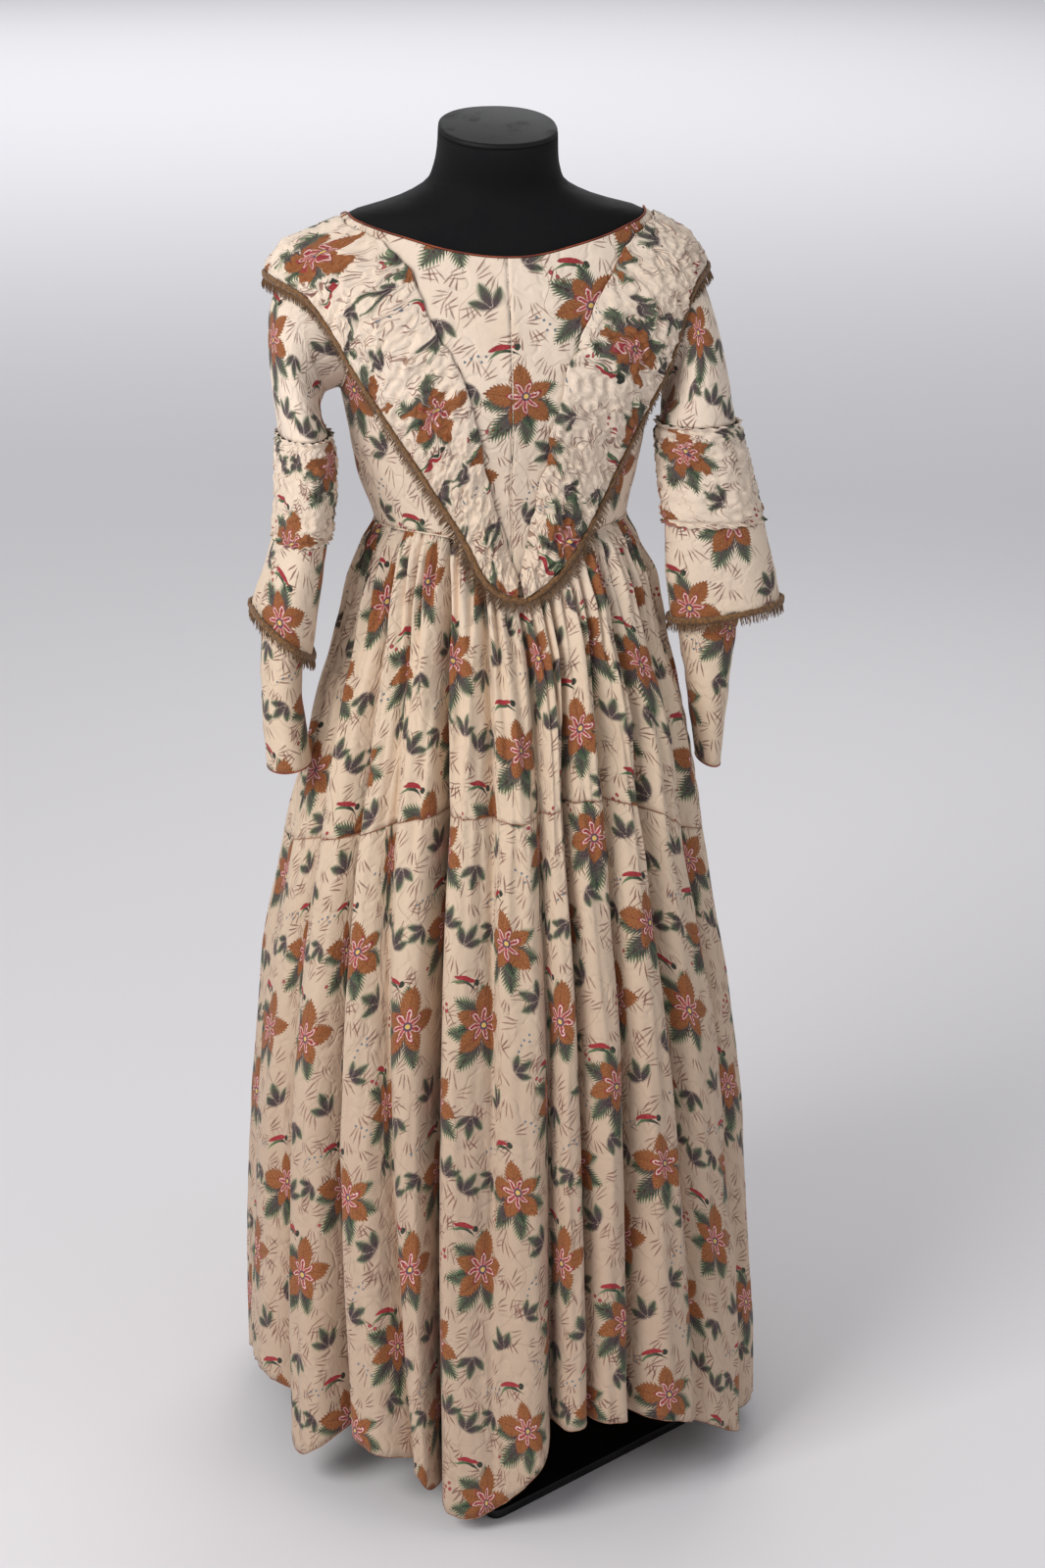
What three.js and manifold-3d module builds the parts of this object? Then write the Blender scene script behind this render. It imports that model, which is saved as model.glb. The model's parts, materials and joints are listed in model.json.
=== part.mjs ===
// A printed cotton evening dress worn by a limbless dress form on a flat base.
// Millimetres, +Z up. The front of the dress faces -Y, its left in view is -X.
// The origin is the centre of the base's underside.
import * as THREE from 'three';
import { mergeVertices } from 'three/addons/utils/BufferGeometryUtils.js';
import Module from 'manifold-3d';

// ---------------------------------------------------------------- driving sizes
const SEAM_GAP = 0.3;
const BODICE_CLOTH = 1.5;
const SKIRT_CLOTH = 1.8;
const SLEEVE_CLOTH = 1.5;
const BAND_CLOTH = 1.6;
const FORM_EASE = 3;                 // air between the form and the bodice
const NECK_EASE = 0.9;               // the same at the neckline
const PANEL_STEP = 9;                 // degrees between the columns of a bodice panel
const SECTION_POWER = 2.2;           // 2 is an ellipse, more is squarer
const BASE = { long: 380, deep: 340, thick: 10, corner: 15 };
const BASE_FRONT = { x: -46, y: -273, longTurn: 35.3, deepTurn: 114.5 };   // its front corner and edges
const POLE = { radius: 12, bottom: 10.3, top: 739.7 };
const FORM = { bottom: 740, top: 1376, around: 22, slim: 1.5, lean: -15, leanFrom: 1310, tilt: 0.24 };
const CAP_THICK = 5;
const ARMHOLE = { y: -4, z: 1199, deep: 50, high: 69, proud: 1.3 };
const PIPING_RADIUS = 1.1;
const WAIST_DROP = 1.15;             // the skirt starts this far below the bodice's edge
const FRINGE = { strip: 5, thick: 2.4, strand: 14, root: 2.2, step: 10.8, off: 1.6 };
const PUCKER = { band: 3.2, sleeve: 3.6, frill: 4 };
const GATHER = { deep: 5, reach: 130 };
const FOLD = { power: 2.3, sharper: 0.025 };     // how round a crest is; deep valleys are narrower

// The figure under the cloth: half width, depth in front and behind, and how far the
// section's middle lies towards +X, at each height.
const FIGURE = [
  { z: 740, wide: 140, front: 84, back: 100, shift: 0 },
  { z: 800, wide: 146, front: 102, back: 110, shift: 0 },
  { z: 860, wide: 144, front: 101, back: 106, shift: 1 },
  { z: 910, wide: 135, front: 92, back: 93, shift: 1 },
  { z: 950, wide: 126, front: 83, back: 79, shift: 2 },
  { z: 990, wide: 123, front: 75, back: 71, shift: 4 },
  { z: 1040, wide: 137, front: 83, back: 75, shift: 1 },
  { z: 1090, wide: 147, front: 98, back: 81, shift: 1 },
  { z: 1130, wide: 153, front: 105, back: 85, shift: 0 },
  { z: 1180, wide: 164, front: 97, back: 87, shift: 0 },
  { z: 1220, wide: 174, front: 85, back: 85, shift: 0 },
  { z: 1250, wide: 174, front: 73, back: 79, shift: 0 },
  { z: 1275, wide: 165, front: 63, back: 71, shift: 0 },
  { z: 1297, wide: 146, front: 55, back: 62, shift: 0 },
  { z: 1310, wide: 101, front: 53, back: 59, shift: 0 },
  { z: 1325, wide: 70, front: 53, back: 56, shift: 0 },
  { z: 1340, wide: 62, front: 54, back: 55, shift: 0 },
  { z: 1356, wide: 59, front: 55, back: 55, shift: 0 },
  { z: 1376, wide: 58, front: 55, back: 55, shift: 0 },
];

// The surface that the puckered bands and their fringe lie on, over bodice and sleeve heads.
const OVERLAY = [
  { z: 900, wide: 144, front: 104, back: 104, shift: 0 },
  { z: 950, wide: 138, front: 96, back: 92, shift: 0 },
  { z: 990, wide: 135, front: 88, back: 84, shift: 2 },
  { z: 1040, wide: 148, front: 90.8, back: 83, shift: 0 },
  { z: 1090, wide: 163, front: 102.8, back: 86, shift: 0 },
  { z: 1130, wide: 181, front: 109.7, back: 90, shift: 0 },
  { z: 1180, wide: 206, front: 105, back: 94.5, shift: -3 },
  { z: 1220, wide: 219, front: 94, back: 94, shift: -6 },
  { z: 1240, wide: 217, front: 86, back: 89, shift: -8 },
  { z: 1258, wide: 206, front: 78, back: 83, shift: -8 },
  { z: 1275, wide: 193, front: 70, back: 78, shift: -7 },
  { z: 1290, wide: 177, front: 64, back: 71, shift: -4 },
  { z: 1304, wide: 151, front: 61, back: 66, shift: -1 },
];

// The skirt's outer reach at the crests of its folds.
const SKIRT_REACH = [
  { z: 20, wide: 274, front: 303, back: 326, shift: -1 },
  { z: 100, wide: 274, front: 297, back: 322, shift: -1 },
  { z: 210, wide: 270, front: 285, back: 313, shift: -2 },
  { z: 310, wide: 263, front: 273, back: 300, shift: -3 },
  { z: 410, wide: 255, front: 259, back: 283, shift: -3 },
  { z: 510, wide: 243, front: 241, back: 263, shift: -3 },
  { z: 610, wide: 225, front: 220, back: 240, shift: -4 },
  { z: 710, wide: 206, front: 194, back: 214, shift: -2 },
  { z: 810, wide: 186, front: 160, back: 174, shift: 2 },
  { z: 860, wide: 171, front: 138, back: 149, shift: 3 },
  { z: 910, wide: 156, front: 117, back: 123, shift: 4 },
  { z: 950, wide: 146, front: 103, back: 104, shift: 5 },
  { z: 1000, wide: 131, front: 84, back: 80, shift: 4 },
];

// Heights round the bodice; turn is 0 at centre front, +90 at the +X side, 180 behind.
const BODICE_LINES = [
  { turn: -180, neck: 1268, waist: 984 },
  { turn: -150, neck: 1273, waist: 986 },
  { turn: -120, neck: 1284, waist: 989 },
  { turn: -90, neck: 1297, waist: 992 },
  { turn: -62, neck: 1292, waist: 992 },
  { turn: -36, neck: 1280, waist: 990 },
  { turn: -18, neck: 1268, waist: 981 },
  { turn: -11, neck: 1264, waist: 957 },
  { turn: -4, neck: 1261, waist: 937 },
  { turn: 2.7, neck: 1260, waist: 922 },
  { turn: 10, neck: 1262, waist: 937 },
  { turn: 20, neck: 1268, waist: 956 },
  { turn: 32, neck: 1275, waist: 981 },
  { turn: 55, neck: 1288, waist: 990 },
  { turn: 90, neck: 1297, waist: 992 },
  { turn: 120, neck: 1284, waist: 989 },
  { turn: 150, neck: 1273, waist: 986 },
  { turn: 180, neck: 1268, waist: 984 },
];

// Height of the seam between the skirt's two tiers.
const SEAM_LINE = [
  { turn: -180, z: 672 }, { turn: -135, z: 664 }, { turn: -100, z: 650 },
  { turn: -74, z: 677 }, { turn: -50, z: 700 }, { turn: -31, z: 725 },
  { turn: -14, z: 730 }, { turn: 0, z: 724 }, { turn: 8, z: 732 },
  { turn: 18, z: 740 }, { turn: 38, z: 722 }, { turn: 57, z: 688 },
  { turn: 82, z: 664 }, { turn: 120, z: 664 }, { turn: 150, z: 670 }, { turn: 180, z: 672 },
];

// Height of the uneven hem.
const HEM_LINE = [
  { turn: -180, z: 34 }, { turn: -150, z: 40 }, { turn: -125, z: 30 }, { turn: -100, z: 44 },
  { turn: -80, z: 92 }, { turn: -68, z: 80 }, { turn: -59, z: 40 }, { turn: -51, z: 58 },
  { turn: -45, z: 84 }, { turn: -33, z: 74 }, { turn: -25, z: 60 }, { turn: -21, z: 32 },
  { turn: -15, z: 18 }, { turn: -9, z: 26 }, { turn: -3, z: 52 }, { turn: 1, z: 80 },
  { turn: 4, z: 108 }, { turn: 20, z: 106 }, { turn: 30, z: 92 }, { turn: 42, z: 66 },
  { turn: 55, z: 32 }, { turn: 72, z: 25 }, { turn: 90, z: 32 }, { turn: 120, z: 30 },
  { turn: 150, z: 42 }, { turn: 180, z: 34 },
];

// The valleys between the skirt's folds: where each runs, how deep it is, and the
// number of small waist gathers between it and the next one.
const VALLEYS = [
  { waist: -90, seam: -90, hem: -93, seamDeep: 12, hemDeep: 20, gathers: 4 },
  { waist: -72, seam: -70, hem: -67, seamDeep: 14, hemDeep: 26, gathers: 4 },
  { waist: -56, seam: -52, hem: -45.5, seamDeep: 34, hemDeep: 82, gathers: 3 },
  { waist: -42, seam: -39, hem: -27, seamDeep: 14, hemDeep: 18, gathers: 3 },
  { waist: -28, seam: -22, hem: -21.5, seamDeep: 44, hemDeep: 40, gathers: 3 },
  { waist: -11, seam: -7, hem: -9, seamDeep: 12, hemDeep: 3, gathers: 3 },
  { waist: 3, seam: 5, hem: 3, seamDeep: 10, hemDeep: 36, gathers: 3 },
  { waist: 14, seam: 12, hem: 10, seamDeep: 22, hemDeep: 22, gathers: 3 },
  { waist: 27, seam: 25, hem: 20, seamDeep: 14, hemDeep: 40, gathers: 3 },
  { waist: 40, seam: 38, hem: 41, seamDeep: 38, hemDeep: 10, gathers: 4 },
  { waist: 58, seam: 60, hem: 64, seamDeep: 16, hemDeep: 12, gathers: 4 },
  { waist: 74, seam: 80, hem: 84, seamDeep: 12, hemDeep: 24, gathers: 3 },
  { waist: 90, seam: 97, hem: 103, seamDeep: 16, hemDeep: 30, gathers: 4 },
  { waist: 110, seam: 117, hem: 121, seamDeep: 22, hemDeep: 40, gathers: 4 },
  { waist: 131, seam: 138, hem: 141, seamDeep: 14, hemDeep: 26, gathers: 4 },
  { waist: 152, seam: 159, hem: 163, seamDeep: 26, hemDeep: 44, gathers: 4 },
  { waist: 178, seam: 181, hem: 184, seamDeep: 14, hemDeep: 28, gathers: 4 },
  { waist: 203, seam: 203, hem: 204, seamDeep: 24, hemDeep: 42, gathers: 4 },
  { waist: 226, seam: 225, hem: 225, seamDeep: 14, hemDeep: 28, gathers: 4 },
  { waist: 247, seam: 246, hem: 245, seamDeep: 18, hemDeep: 34, gathers: 4 },
];
const FRONT_VALLEYS = { from: 0, to: 12 };
const CENTRE_BACK_VALLEY = 16;

// One puckered band, from the V point over the shoulder to the centre back. The turns
// are for the +X band; the leans move both bands' edges towards +X.
const BAND = [
  { inner: 0.3, innerZ: 948, innerLean: 2.2, outer: 1.2, outerZ: 929, outerLean: 2.7 },
  { inner: 2.8, innerZ: 976, innerLean: 1.4, outer: 11, outerZ: 946, outerLean: 3.5 },
  { inner: 5.2, innerZ: 1007, innerLean: 1.2, outer: 21, outerZ: 976, outerLean: 6 },
  { inner: 9, innerZ: 1055, innerLean: 1.2, outer: 30, outerZ: 1012, outerLean: 7 },
  { inner: 12, innerZ: 1106, innerLean: 1.1, outer: 38, outerZ: 1055, outerLean: 6.5 },
  { inner: 17, innerZ: 1165, innerLean: 0.5, outer: 46, outerZ: 1101, outerLean: 5 },
  { inner: 25.5, innerZ: 1222, innerLean: 0.5, outer: 51, outerZ: 1150, outerLean: 4 },
  { inner: 36, innerZ: 1266, innerLean: 3, outer: 53, outerZ: 1199, outerLean: 3 },
  { inner: 56, innerZ: 1286, innerLean: 2.5, outer: 61, outerZ: 1231, outerLean: 2 },
  { inner: 86, innerZ: 1295, innerLean: 0, outer: 88, outerZ: 1243, outerLean: 0 },
  { inner: 122, innerZ: 1284, innerLean: 0, outer: 117, outerZ: 1234, outerLean: 0 },
  { inner: 147, innerZ: 1268, innerLean: 0, outer: 127, outerZ: 1199, outerLean: 0 },
  { inner: 156, innerZ: 1222, innerLean: 0, outer: 131, outerZ: 1150, outerLean: 0 },
  { inner: 160, innerZ: 1165, innerLean: 0, outer: 138, outerZ: 1101, outerLean: 0 },
  { inner: 165, innerZ: 1106, innerLean: 0, outer: 147, outerZ: 1055, outerLean: 0 },
  { inner: 171, innerZ: 1055, innerLean: 0, outer: 157, outerZ: 1018, outerLean: 0 },
  { inner: 175.5, innerZ: 1022, innerLean: 0, outer: 169, outerZ: 999, outerLean: 0 },
  { inner: 179.5, innerZ: 1005, innerLean: 0, outer: 178.6, outerZ: 990, outerLean: 0 },
];
const BAND_GRID = { along: 36, across: 5 };

// Sleeve sections: over is the outer end and under the inner end of each section in the
// X-Z plane, y its middle and deep its half depth.
const SLEEVES = {
  left: {
    side: -1,
    upper: [
      { overX: 202, overZ: 1252, underX: 171, underZ: 1126, y: -6, deep: 52 },
      { overX: 222, overZ: 1216, underX: 178, underZ: 1117, y: -14, deep: 52 },
      { overX: 227, overZ: 1165, underX: 178, underZ: 1106, y: -26, deep: 53 },
      { overX: 220, overZ: 1090, underX: 175, underZ: 1090, y: -37, deep: 54 },
    ],
    puckered: [
      { overX: 220, overZ: 1089.7, underX: 173, underZ: 1089.7, y: -37, deep: 54 },
      { overX: 221, overZ: 1060, underX: 170, underZ: 1060, y: -39, deep: 56 },
      { overX: 222, overZ: 1020, underX: 172, underZ: 1020, y: -40, deep: 56 },
      { overX: 227, overZ: 987, underX: 176, underZ: 987, y: -41, deep: 56 },
    ],
    bell: [
      { overX: 228, overZ: 986.7, underX: 177, underZ: 986.7, y: -41, deep: 56 },
      { overX: 239, overZ: 950, underX: 184, underZ: 940, y: -42, deep: 58 },
      { overX: 251, overZ: 916, underX: 195, underZ: 868, y: -44, deep: 61 },
    ],
    lower: [
      { overX: 226, overZ: 984, underX: 179.4, underZ: 984, y: -41, deep: 54 },
      { overX: 226, overZ: 962, underX: 187, underZ: 962, y: -42, deep: 47 },
      { overX: 240, overZ: 900, underX: 199, underZ: 900, y: -43, deep: 40 },
      { overX: 244, overZ: 830, underX: 206, underZ: 830, y: -44, deep: 36 },
      { overX: 240, overZ: 751, underX: 198, underZ: 757, y: -45, deep: 36 },
    ],
  },
  right: {
    side: 1,
    upper: [
      { overX: 196, overZ: 1252, underX: 168, underZ: 1126, y: -6, deep: 52 },
      { overX: 208, overZ: 1216, underX: 169, underZ: 1115, y: -14, deep: 51 },
      { overX: 221, overZ: 1165, underX: 165, underZ: 1103, y: -26, deep: 48 },
      { overX: 234, overZ: 1090, underX: 161, underZ: 1090, y: -37, deep: 42 },
    ],
    puckered: [
      { overX: 236, overZ: 1089.7, underX: 160, underZ: 1089.7, y: -37, deep: 42 },
      { overX: 243, overZ: 1060, underX: 160, underZ: 1060, y: -39, deep: 39 },
      { overX: 254, overZ: 1020, underX: 164, underZ: 1020, y: -40, deep: 36 },
      { overX: 264, overZ: 987, underX: 167, underZ: 987, y: -41, deep: 34 },
    ],
    bell: [
      { overX: 265, overZ: 986.7, underX: 167, underZ: 986.7, y: -41, deep: 34 },
      { overX: 275, overZ: 944, underX: 168, underZ: 942, y: -42, deep: 33 },
      { overX: 284, overZ: 903, underX: 173, underZ: 887, y: -43, deep: 33 },
    ],
    lower: [
      { overX: 263.2, overZ: 984, underX: 168.8, underZ: 984, y: -41, deep: 32.2 },
      { overX: 248, overZ: 960, underX: 172, underZ: 960, y: -42, deep: 28 },
      { overX: 242, overZ: 900, underX: 178, underZ: 900, y: -42, deep: 26 },
      { overX: 233, overZ: 830, underX: 189, underZ: 830, y: -43, deep: 28 },
      { overX: 223, overZ: 736, underX: 203, underZ: 738, y: -44, deep: 30 },
    ],
  },
};
const SLEEVE_AROUND = { upper: 16, puckered: 20, bell: 18, lower: 18 };

const PAINT = {
  cotton: { color: 0xd9c4a4, roughness: 0.85, metalness: 0 },
  braid: { color: 0x6b4a22, roughness: 0.8, metalness: 0 },
  piping: { color: 0x8c4a30, roughness: 0.8, metalness: 0 },
  cover: { color: 0x101013, roughness: 0.75, metalness: 0 },
  cap: { color: 0x33343a, roughness: 0.5, metalness: 0 },
  metal: { color: 0x0b0b0d, roughness: 0.4, metalness: 0.3 },
};

// ---------------------------------------------------------------- small tools
const dress = new THREE.Group();
const wasm = await Module();
wasm.setup();

const rad = (degrees) => degrees * Math.PI / 180;
const mix = (a, b, t) => a + (b - a) * t;
const clamp = (value, low, high) => Math.min(high, Math.max(low, value));
const ease = (t) => clamp(t, 0, 1) ** 2 * (3 - 2 * clamp(t, 0, 1));
const vec = (x, y, z) => new THREE.Vector3(x, y, z);

/** Smooth value of a table's column where its key column equals at. */
function smooth(table, key, column, at) {
  const last = table.length - 1;
  const sign = Math.sign(table[last][key] - table[0][key]);
  let i = 0;
  while (i < last - 1 && sign * (at - table[i + 1][key]) > 0) i += 1;
  const span = table[i + 1][key] - table[i][key];
  const t = clamp((at - table[i][key]) / span, 0, 1);
  const slope = (k) => {
    const a = table[Math.max(k - 1, 0)];
    const b = table[Math.min(k + 1, last)];
    return (b[column] - a[column]) / (b[key] - a[key]) * span;
  };
  const [p, q] = [table[i][column], table[i + 1][column]];
  const [u, v] = [slope(i), slope(i + 1)];
  return p + t * (u + t * (3 * (q - p) - 2 * u - v + t * (2 * (p - q) + u + v)));
}

/** Smooth row of a table at a fractional row number. */
function rowAt(table, index) {
  const numbered = table.map((row, i) => ({ ...row, index: i }));
  const row = {};
  for (const column of Object.keys(table[0])) {
    row[column] = smooth(numbered, 'index', column, index);
  }
  return row;
}

/** Power that keeps its sign. */
const signedPower = (value, power) => Math.sign(value) * Math.abs(value) ** power;

/** Point of a body table's section at a turn and height, moved out. */
function bodyPoint(table, turn, z, out) {
  const c = Math.cos(rad(turn));
  const depth = smooth(table, 'z', c > 0 ? 'front' : 'back', z) + out;
  const wide = smooth(table, 'z', 'wide', z) + out;
  const power = 2 / SECTION_POWER;
  const x = wide * signedPower(Math.sin(rad(turn)), power) + smooth(table, 'z', 'shift', z);
  return vec(x, -depth * signedPower(c, power), z);
}

/** X of a body table's surface on one side at a distance y from its middle. */
function bodySide(table, side, y, z, out) {
  const depth = smooth(table, 'z', y < 0 ? 'front' : 'back', z) + out;
  const wide = smooth(table, 'z', 'wide', z) + out;
  const part = (1 - Math.min(1, Math.abs(y) / depth) ** SECTION_POWER) ** (1 / SECTION_POWER);
  return side * wide * part + smooth(table, 'z', 'shift', z);
}

const wrapTurn = (turn) => ((turn + 180) % 360 + 360) % 360 - 180;
/** Height of the neck, waist, seam or hem line at a turn. */
function heightAt(line, turn) {
  const at = wrapTurn(turn);
  if (line === 'seam') return smooth(SEAM_LINE, 'turn', 'z', at);
  if (line === 'hem') return smooth(HEM_LINE, 'turn', 'z', at);
  return smooth(BODICE_LINES, 'turn', line, at);
}

/** Height of the bodice's lower edge, which runs straight between its columns. */
function waistEdge(turn) {
  const from = Math.floor(turn / PANEL_STEP) * PANEL_STEP;
  return mix(heightAt('waist', from), heightAt('waist', from + PANEL_STEP), (turn - from) / PANEL_STEP);
}

/** Closed mesh from a list of points and triangles, turned to face outwards. */
function solid(points, faces) {
  let volume = 0;
  for (const [a, b, c] of faces) {
    volume += points[a].dot(vec(0, 0, 0).crossVectors(points[b], points[c]));
  }
  const geometry = new THREE.BufferGeometry();
  const index = faces.flatMap(([a, b, c]) => (volume > 0 ? [a, b, c] : [a, c, b]));
  geometry.setAttribute('position', new THREE.Float32BufferAttribute(
    points.flatMap((p) => [p.x, p.y, p.z]), 3));
  geometry.setIndex(index);
  return geometry;
}

/** A cloth wall between two grids of points; a tube where closed, else a panel. */
function wall(outer, inner, closed) {
  const rows = outer.length;
  const cols = outer[0].length;
  const points = [...outer.flat(), ...inner.flat()];
  const at = (face, r, c) => face * rows * cols + r * cols + (c % cols);
  const faces = [];
  const quad = (a, b, c, d) => faces.push([a, b, c], [a, c, d]);
  const spans = closed ? cols : cols - 1;
  for (let r = 0; r < rows - 1; r += 1) {
    for (let c = 0; c < spans; c += 1) {
      quad(at(0, r, c), at(0, r + 1, c), at(0, r + 1, c + 1), at(0, r, c + 1));
      quad(at(1, r, c), at(1, r, c + 1), at(1, r + 1, c + 1), at(1, r + 1, c));
    }
  }
  for (let c = 0; c < spans; c += 1) {
    quad(at(0, 0, c), at(0, 0, c + 1), at(1, 0, c + 1), at(1, 0, c));
    const r = rows - 1;
    quad(at(0, r, c), at(1, r, c), at(1, r, c + 1), at(0, r, c + 1));
  }
  if (!closed) {
    for (let r = 0; r < rows - 1; r += 1) {
      const c = cols - 1;
      quad(at(0, r, 0), at(1, r, 0), at(1, r + 1, 0), at(0, r + 1, 0));
      quad(at(0, r, c), at(0, r + 1, c), at(1, r + 1, c), at(1, r, c));
    }
  }
  return solid(points, faces);
}

/** A filled loft through rings of points, with flat ends. */
function loft(rings) {
  const count = rings[0].length;
  const points = rings.flat();
  const faces = [];
  for (let r = 0; r < rings.length - 1; r += 1) {
    for (let i = 0; i < count; i += 1) {
      const [a, b] = [r * count + i, r * count + (i + 1) % count];
      faces.push([a, b, b + count], [a, b + count, a + count]);
    }
  }
  for (const [r, flip] of [[0, true], [rings.length - 1, false]]) {
    for (let i = 1; i < count - 1; i += 1) {
      const [a, b, c] = [r * count, r * count + i, r * count + i + 1];
      faces.push(flip ? [a, c, b] : [a, b, c]);
    }
  }
  return solid(points, faces);
}

/** Ring moved inwards, square to its own line seen from above. */
function shrinkRing(ring, thick, closed) {
  const n = ring.length;
  return ring.map((p, i) => {
    const before = ring[closed ? (i + n - 1) % n : Math.max(i - 1, 0)];
    const after = ring[closed ? (i + 1) % n : Math.min(i + 1, n - 1)];
    const a = vec(p.x - before.x, p.y - before.y, 0);
    const b = vec(after.x - p.x, after.y - p.y, 0);
    if (a.length() < 1e-6) a.copy(b);
    if (b.length() < 1e-6) b.copy(a);
    a.normalize();
    b.normalize();
    const along = a.clone().add(b).normalize();
    const miter = Math.max(0.62, Math.sqrt((1 + a.dot(b)) / 2));
    return vec(p.x - along.y * thick / miter, p.y + along.x * thick / miter, p.z);
  });
}

/** Manifold solid of a closed geometry. */
function toManifold(geometry) {
  const bare = geometry.clone();
  bare.deleteAttribute('normal');
  bare.deleteAttribute('uv');
  const merged = mergeVertices(bare, 1e-4);
  return new wasm.Manifold(new wasm.Mesh({
    numProp: 3,
    vertProperties: new Float32Array(merged.attributes.position.array),
    triVerts: new Uint32Array(merged.index.array),
  }));
}

/** Geometry of a manifold solid. */
function fromManifold(manifold) {
  const mesh = manifold.getMesh();
  const geometry = new THREE.BufferGeometry();
  geometry.setAttribute('position', new THREE.Float32BufferAttribute(mesh.vertProperties, 3));
  geometry.setIndex(Array.from(mesh.triVerts));
  return geometry;
}

/** Adds a named piece with its finish. */
function add(name, geometry, paint) {
  const mesh = new THREE.Mesh(geometry, new THREE.MeshStandardMaterial(PAINT[paint]));
  mesh.name = name;
  dress.add(mesh);
  return mesh;
}

/** Even steps from one value to another, both included. */
const steps = (from, to, count) => Array.from({ length: count + 1 }, (_, i) => mix(from, to, i / count));

// ---------------------------------------------------------------- dress form and stand
/** Part of the neck's lean and tilt that is reached at a height. */
const neckPart = (z) => ease((z - FORM.leanFrom) / (FORM.top - FORM.leanFrom));

/** Ring of the form at a height; the neck leans forward and its cut is tilted. */
function formRing(z, out) {
  return steps(0, 360, FORM.around).slice(0, -1).map((turn) => {
    const p = bodyPoint(FIGURE, turn, z, out);
    p.z += neckPart(z) * FORM.tilt * p.y;
    p.y += neckPart(z) * FORM.lean;
    return p;
  });
}

function makeForm() {
  const covered = [...steps(FORM.bottom, 990, 4), ...steps(1040, 1240, 4), 1262, 1280];
  const bare = [1297, 1310, 1317, 1325, 1340, 1356, FORM.top];
  add('form_torso', loft([
    ...covered.map((z) => formRing(z, -FORM.slim)),
    ...bare.map((z) => formRing(z, 0)),
  ]), 'cover');
  const seat = formRing(FORM.top, -0.4);
  const lifted = (part, up) => seat.map((p) => vec(p.x * part,
    FORM.lean + (p.y - FORM.lean) * part, FORM.top + (p.z - FORM.top) * part + up));
  add('form_cap', loft([
    lifted(1, SEAM_GAP), lifted(1, CAP_THICK - 1.5), lifted(0.97, CAP_THICK),
  ]), 'cap');
}

function makeStand() {
  const edge = (turn, length) => vec(Math.cos(rad(turn)), Math.sin(rad(turn)), 0).multiplyScalar(length);
  const front = vec(BASE_FRONT.x, BASE_FRONT.y, 0);
  const long = edge(BASE_FRONT.longTurn, BASE.long);
  const deep = edge(BASE_FRONT.deepTurn, BASE.deep);
  const corners = [front, front.clone().add(long), front.clone().add(long).add(deep), front.clone().add(deep)];
  const outline = new THREE.Shape();
  corners.forEach((corner, i) => {
    const before = corners[(i + 3) % 4].clone().sub(corner).setLength(BASE.corner).add(corner);
    const after = corners[(i + 1) % 4].clone().sub(corner).setLength(BASE.corner).add(corner);
    if (i === 0) outline.moveTo(before.x, before.y);
    else outline.lineTo(before.x, before.y);
    outline.quadraticCurveTo(corner.x, corner.y, after.x, after.y);
  });
  const plate = new THREE.ExtrudeGeometry(outline, {
    depth: BASE.thick, bevelEnabled: false, curveSegments: 4,
  });
  add('stand_base', plate, 'metal');
  const pole = new THREE.CylinderGeometry(POLE.radius, POLE.radius, POLE.top - POLE.bottom, 16);
  pole.rotateX(Math.PI / 2);
  add('stand_pole', pole, 'metal').position.z = (POLE.top + POLE.bottom) / 2;
}

// ---------------------------------------------------------------- bodice
/** A solid bar along X that cuts one armhole. */
function armholeCutter(side) {
  const outline = new THREE.Shape();
  outline.absellipse(0, 0, ARMHOLE.deep, ARMHOLE.high, 0, Math.PI * 2);
  const bar = new THREE.ExtrudeGeometry(outline, {
    depth: 160, bevelEnabled: false, curveSegments: 10,
  });
  bar.rotateX(Math.PI / 2);
  bar.rotateZ(Math.PI / 2);
  bar.translate(side > 0 ? 90 : -250, ARMHOLE.y, ARMHOLE.z);
  return toManifold(bar);
}

function bodicePanel(name, fromTurn, toTurn, side) {
  const turns = steps(fromTurn, toTurn, 90 / PANEL_STEP);
  const grid = (out) => steps(0, 1, 7).map((v) => turns.map((turn) => {
    const z = mix(heightAt('waist', turn), heightAt('neck', turn), 1 - (1 - v) ** 1.3);
    return bodyPoint(FIGURE, turn, z, out + mix(FORM_EASE, NECK_EASE, ease(3 * v - 2)));
  }));
  const cloth = wall(grid(BODICE_CLOTH), grid(0), false);
  add(name, fromManifold(toManifold(cloth).subtract(armholeCutter(side))), 'cotton');
}

function makeBodice() {
  const slit = 0.12;
  bodicePanel('bodice_front_left', -90 + slit, -slit, -1);
  bodicePanel('bodice_front_right', slit, 90 - slit, 1);
  bodicePanel('bodice_back_left', -180 + slit, -90 - slit, -1);
  bodicePanel('bodice_back_right', 90 + slit, 180 - slit, 1);
}

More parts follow.
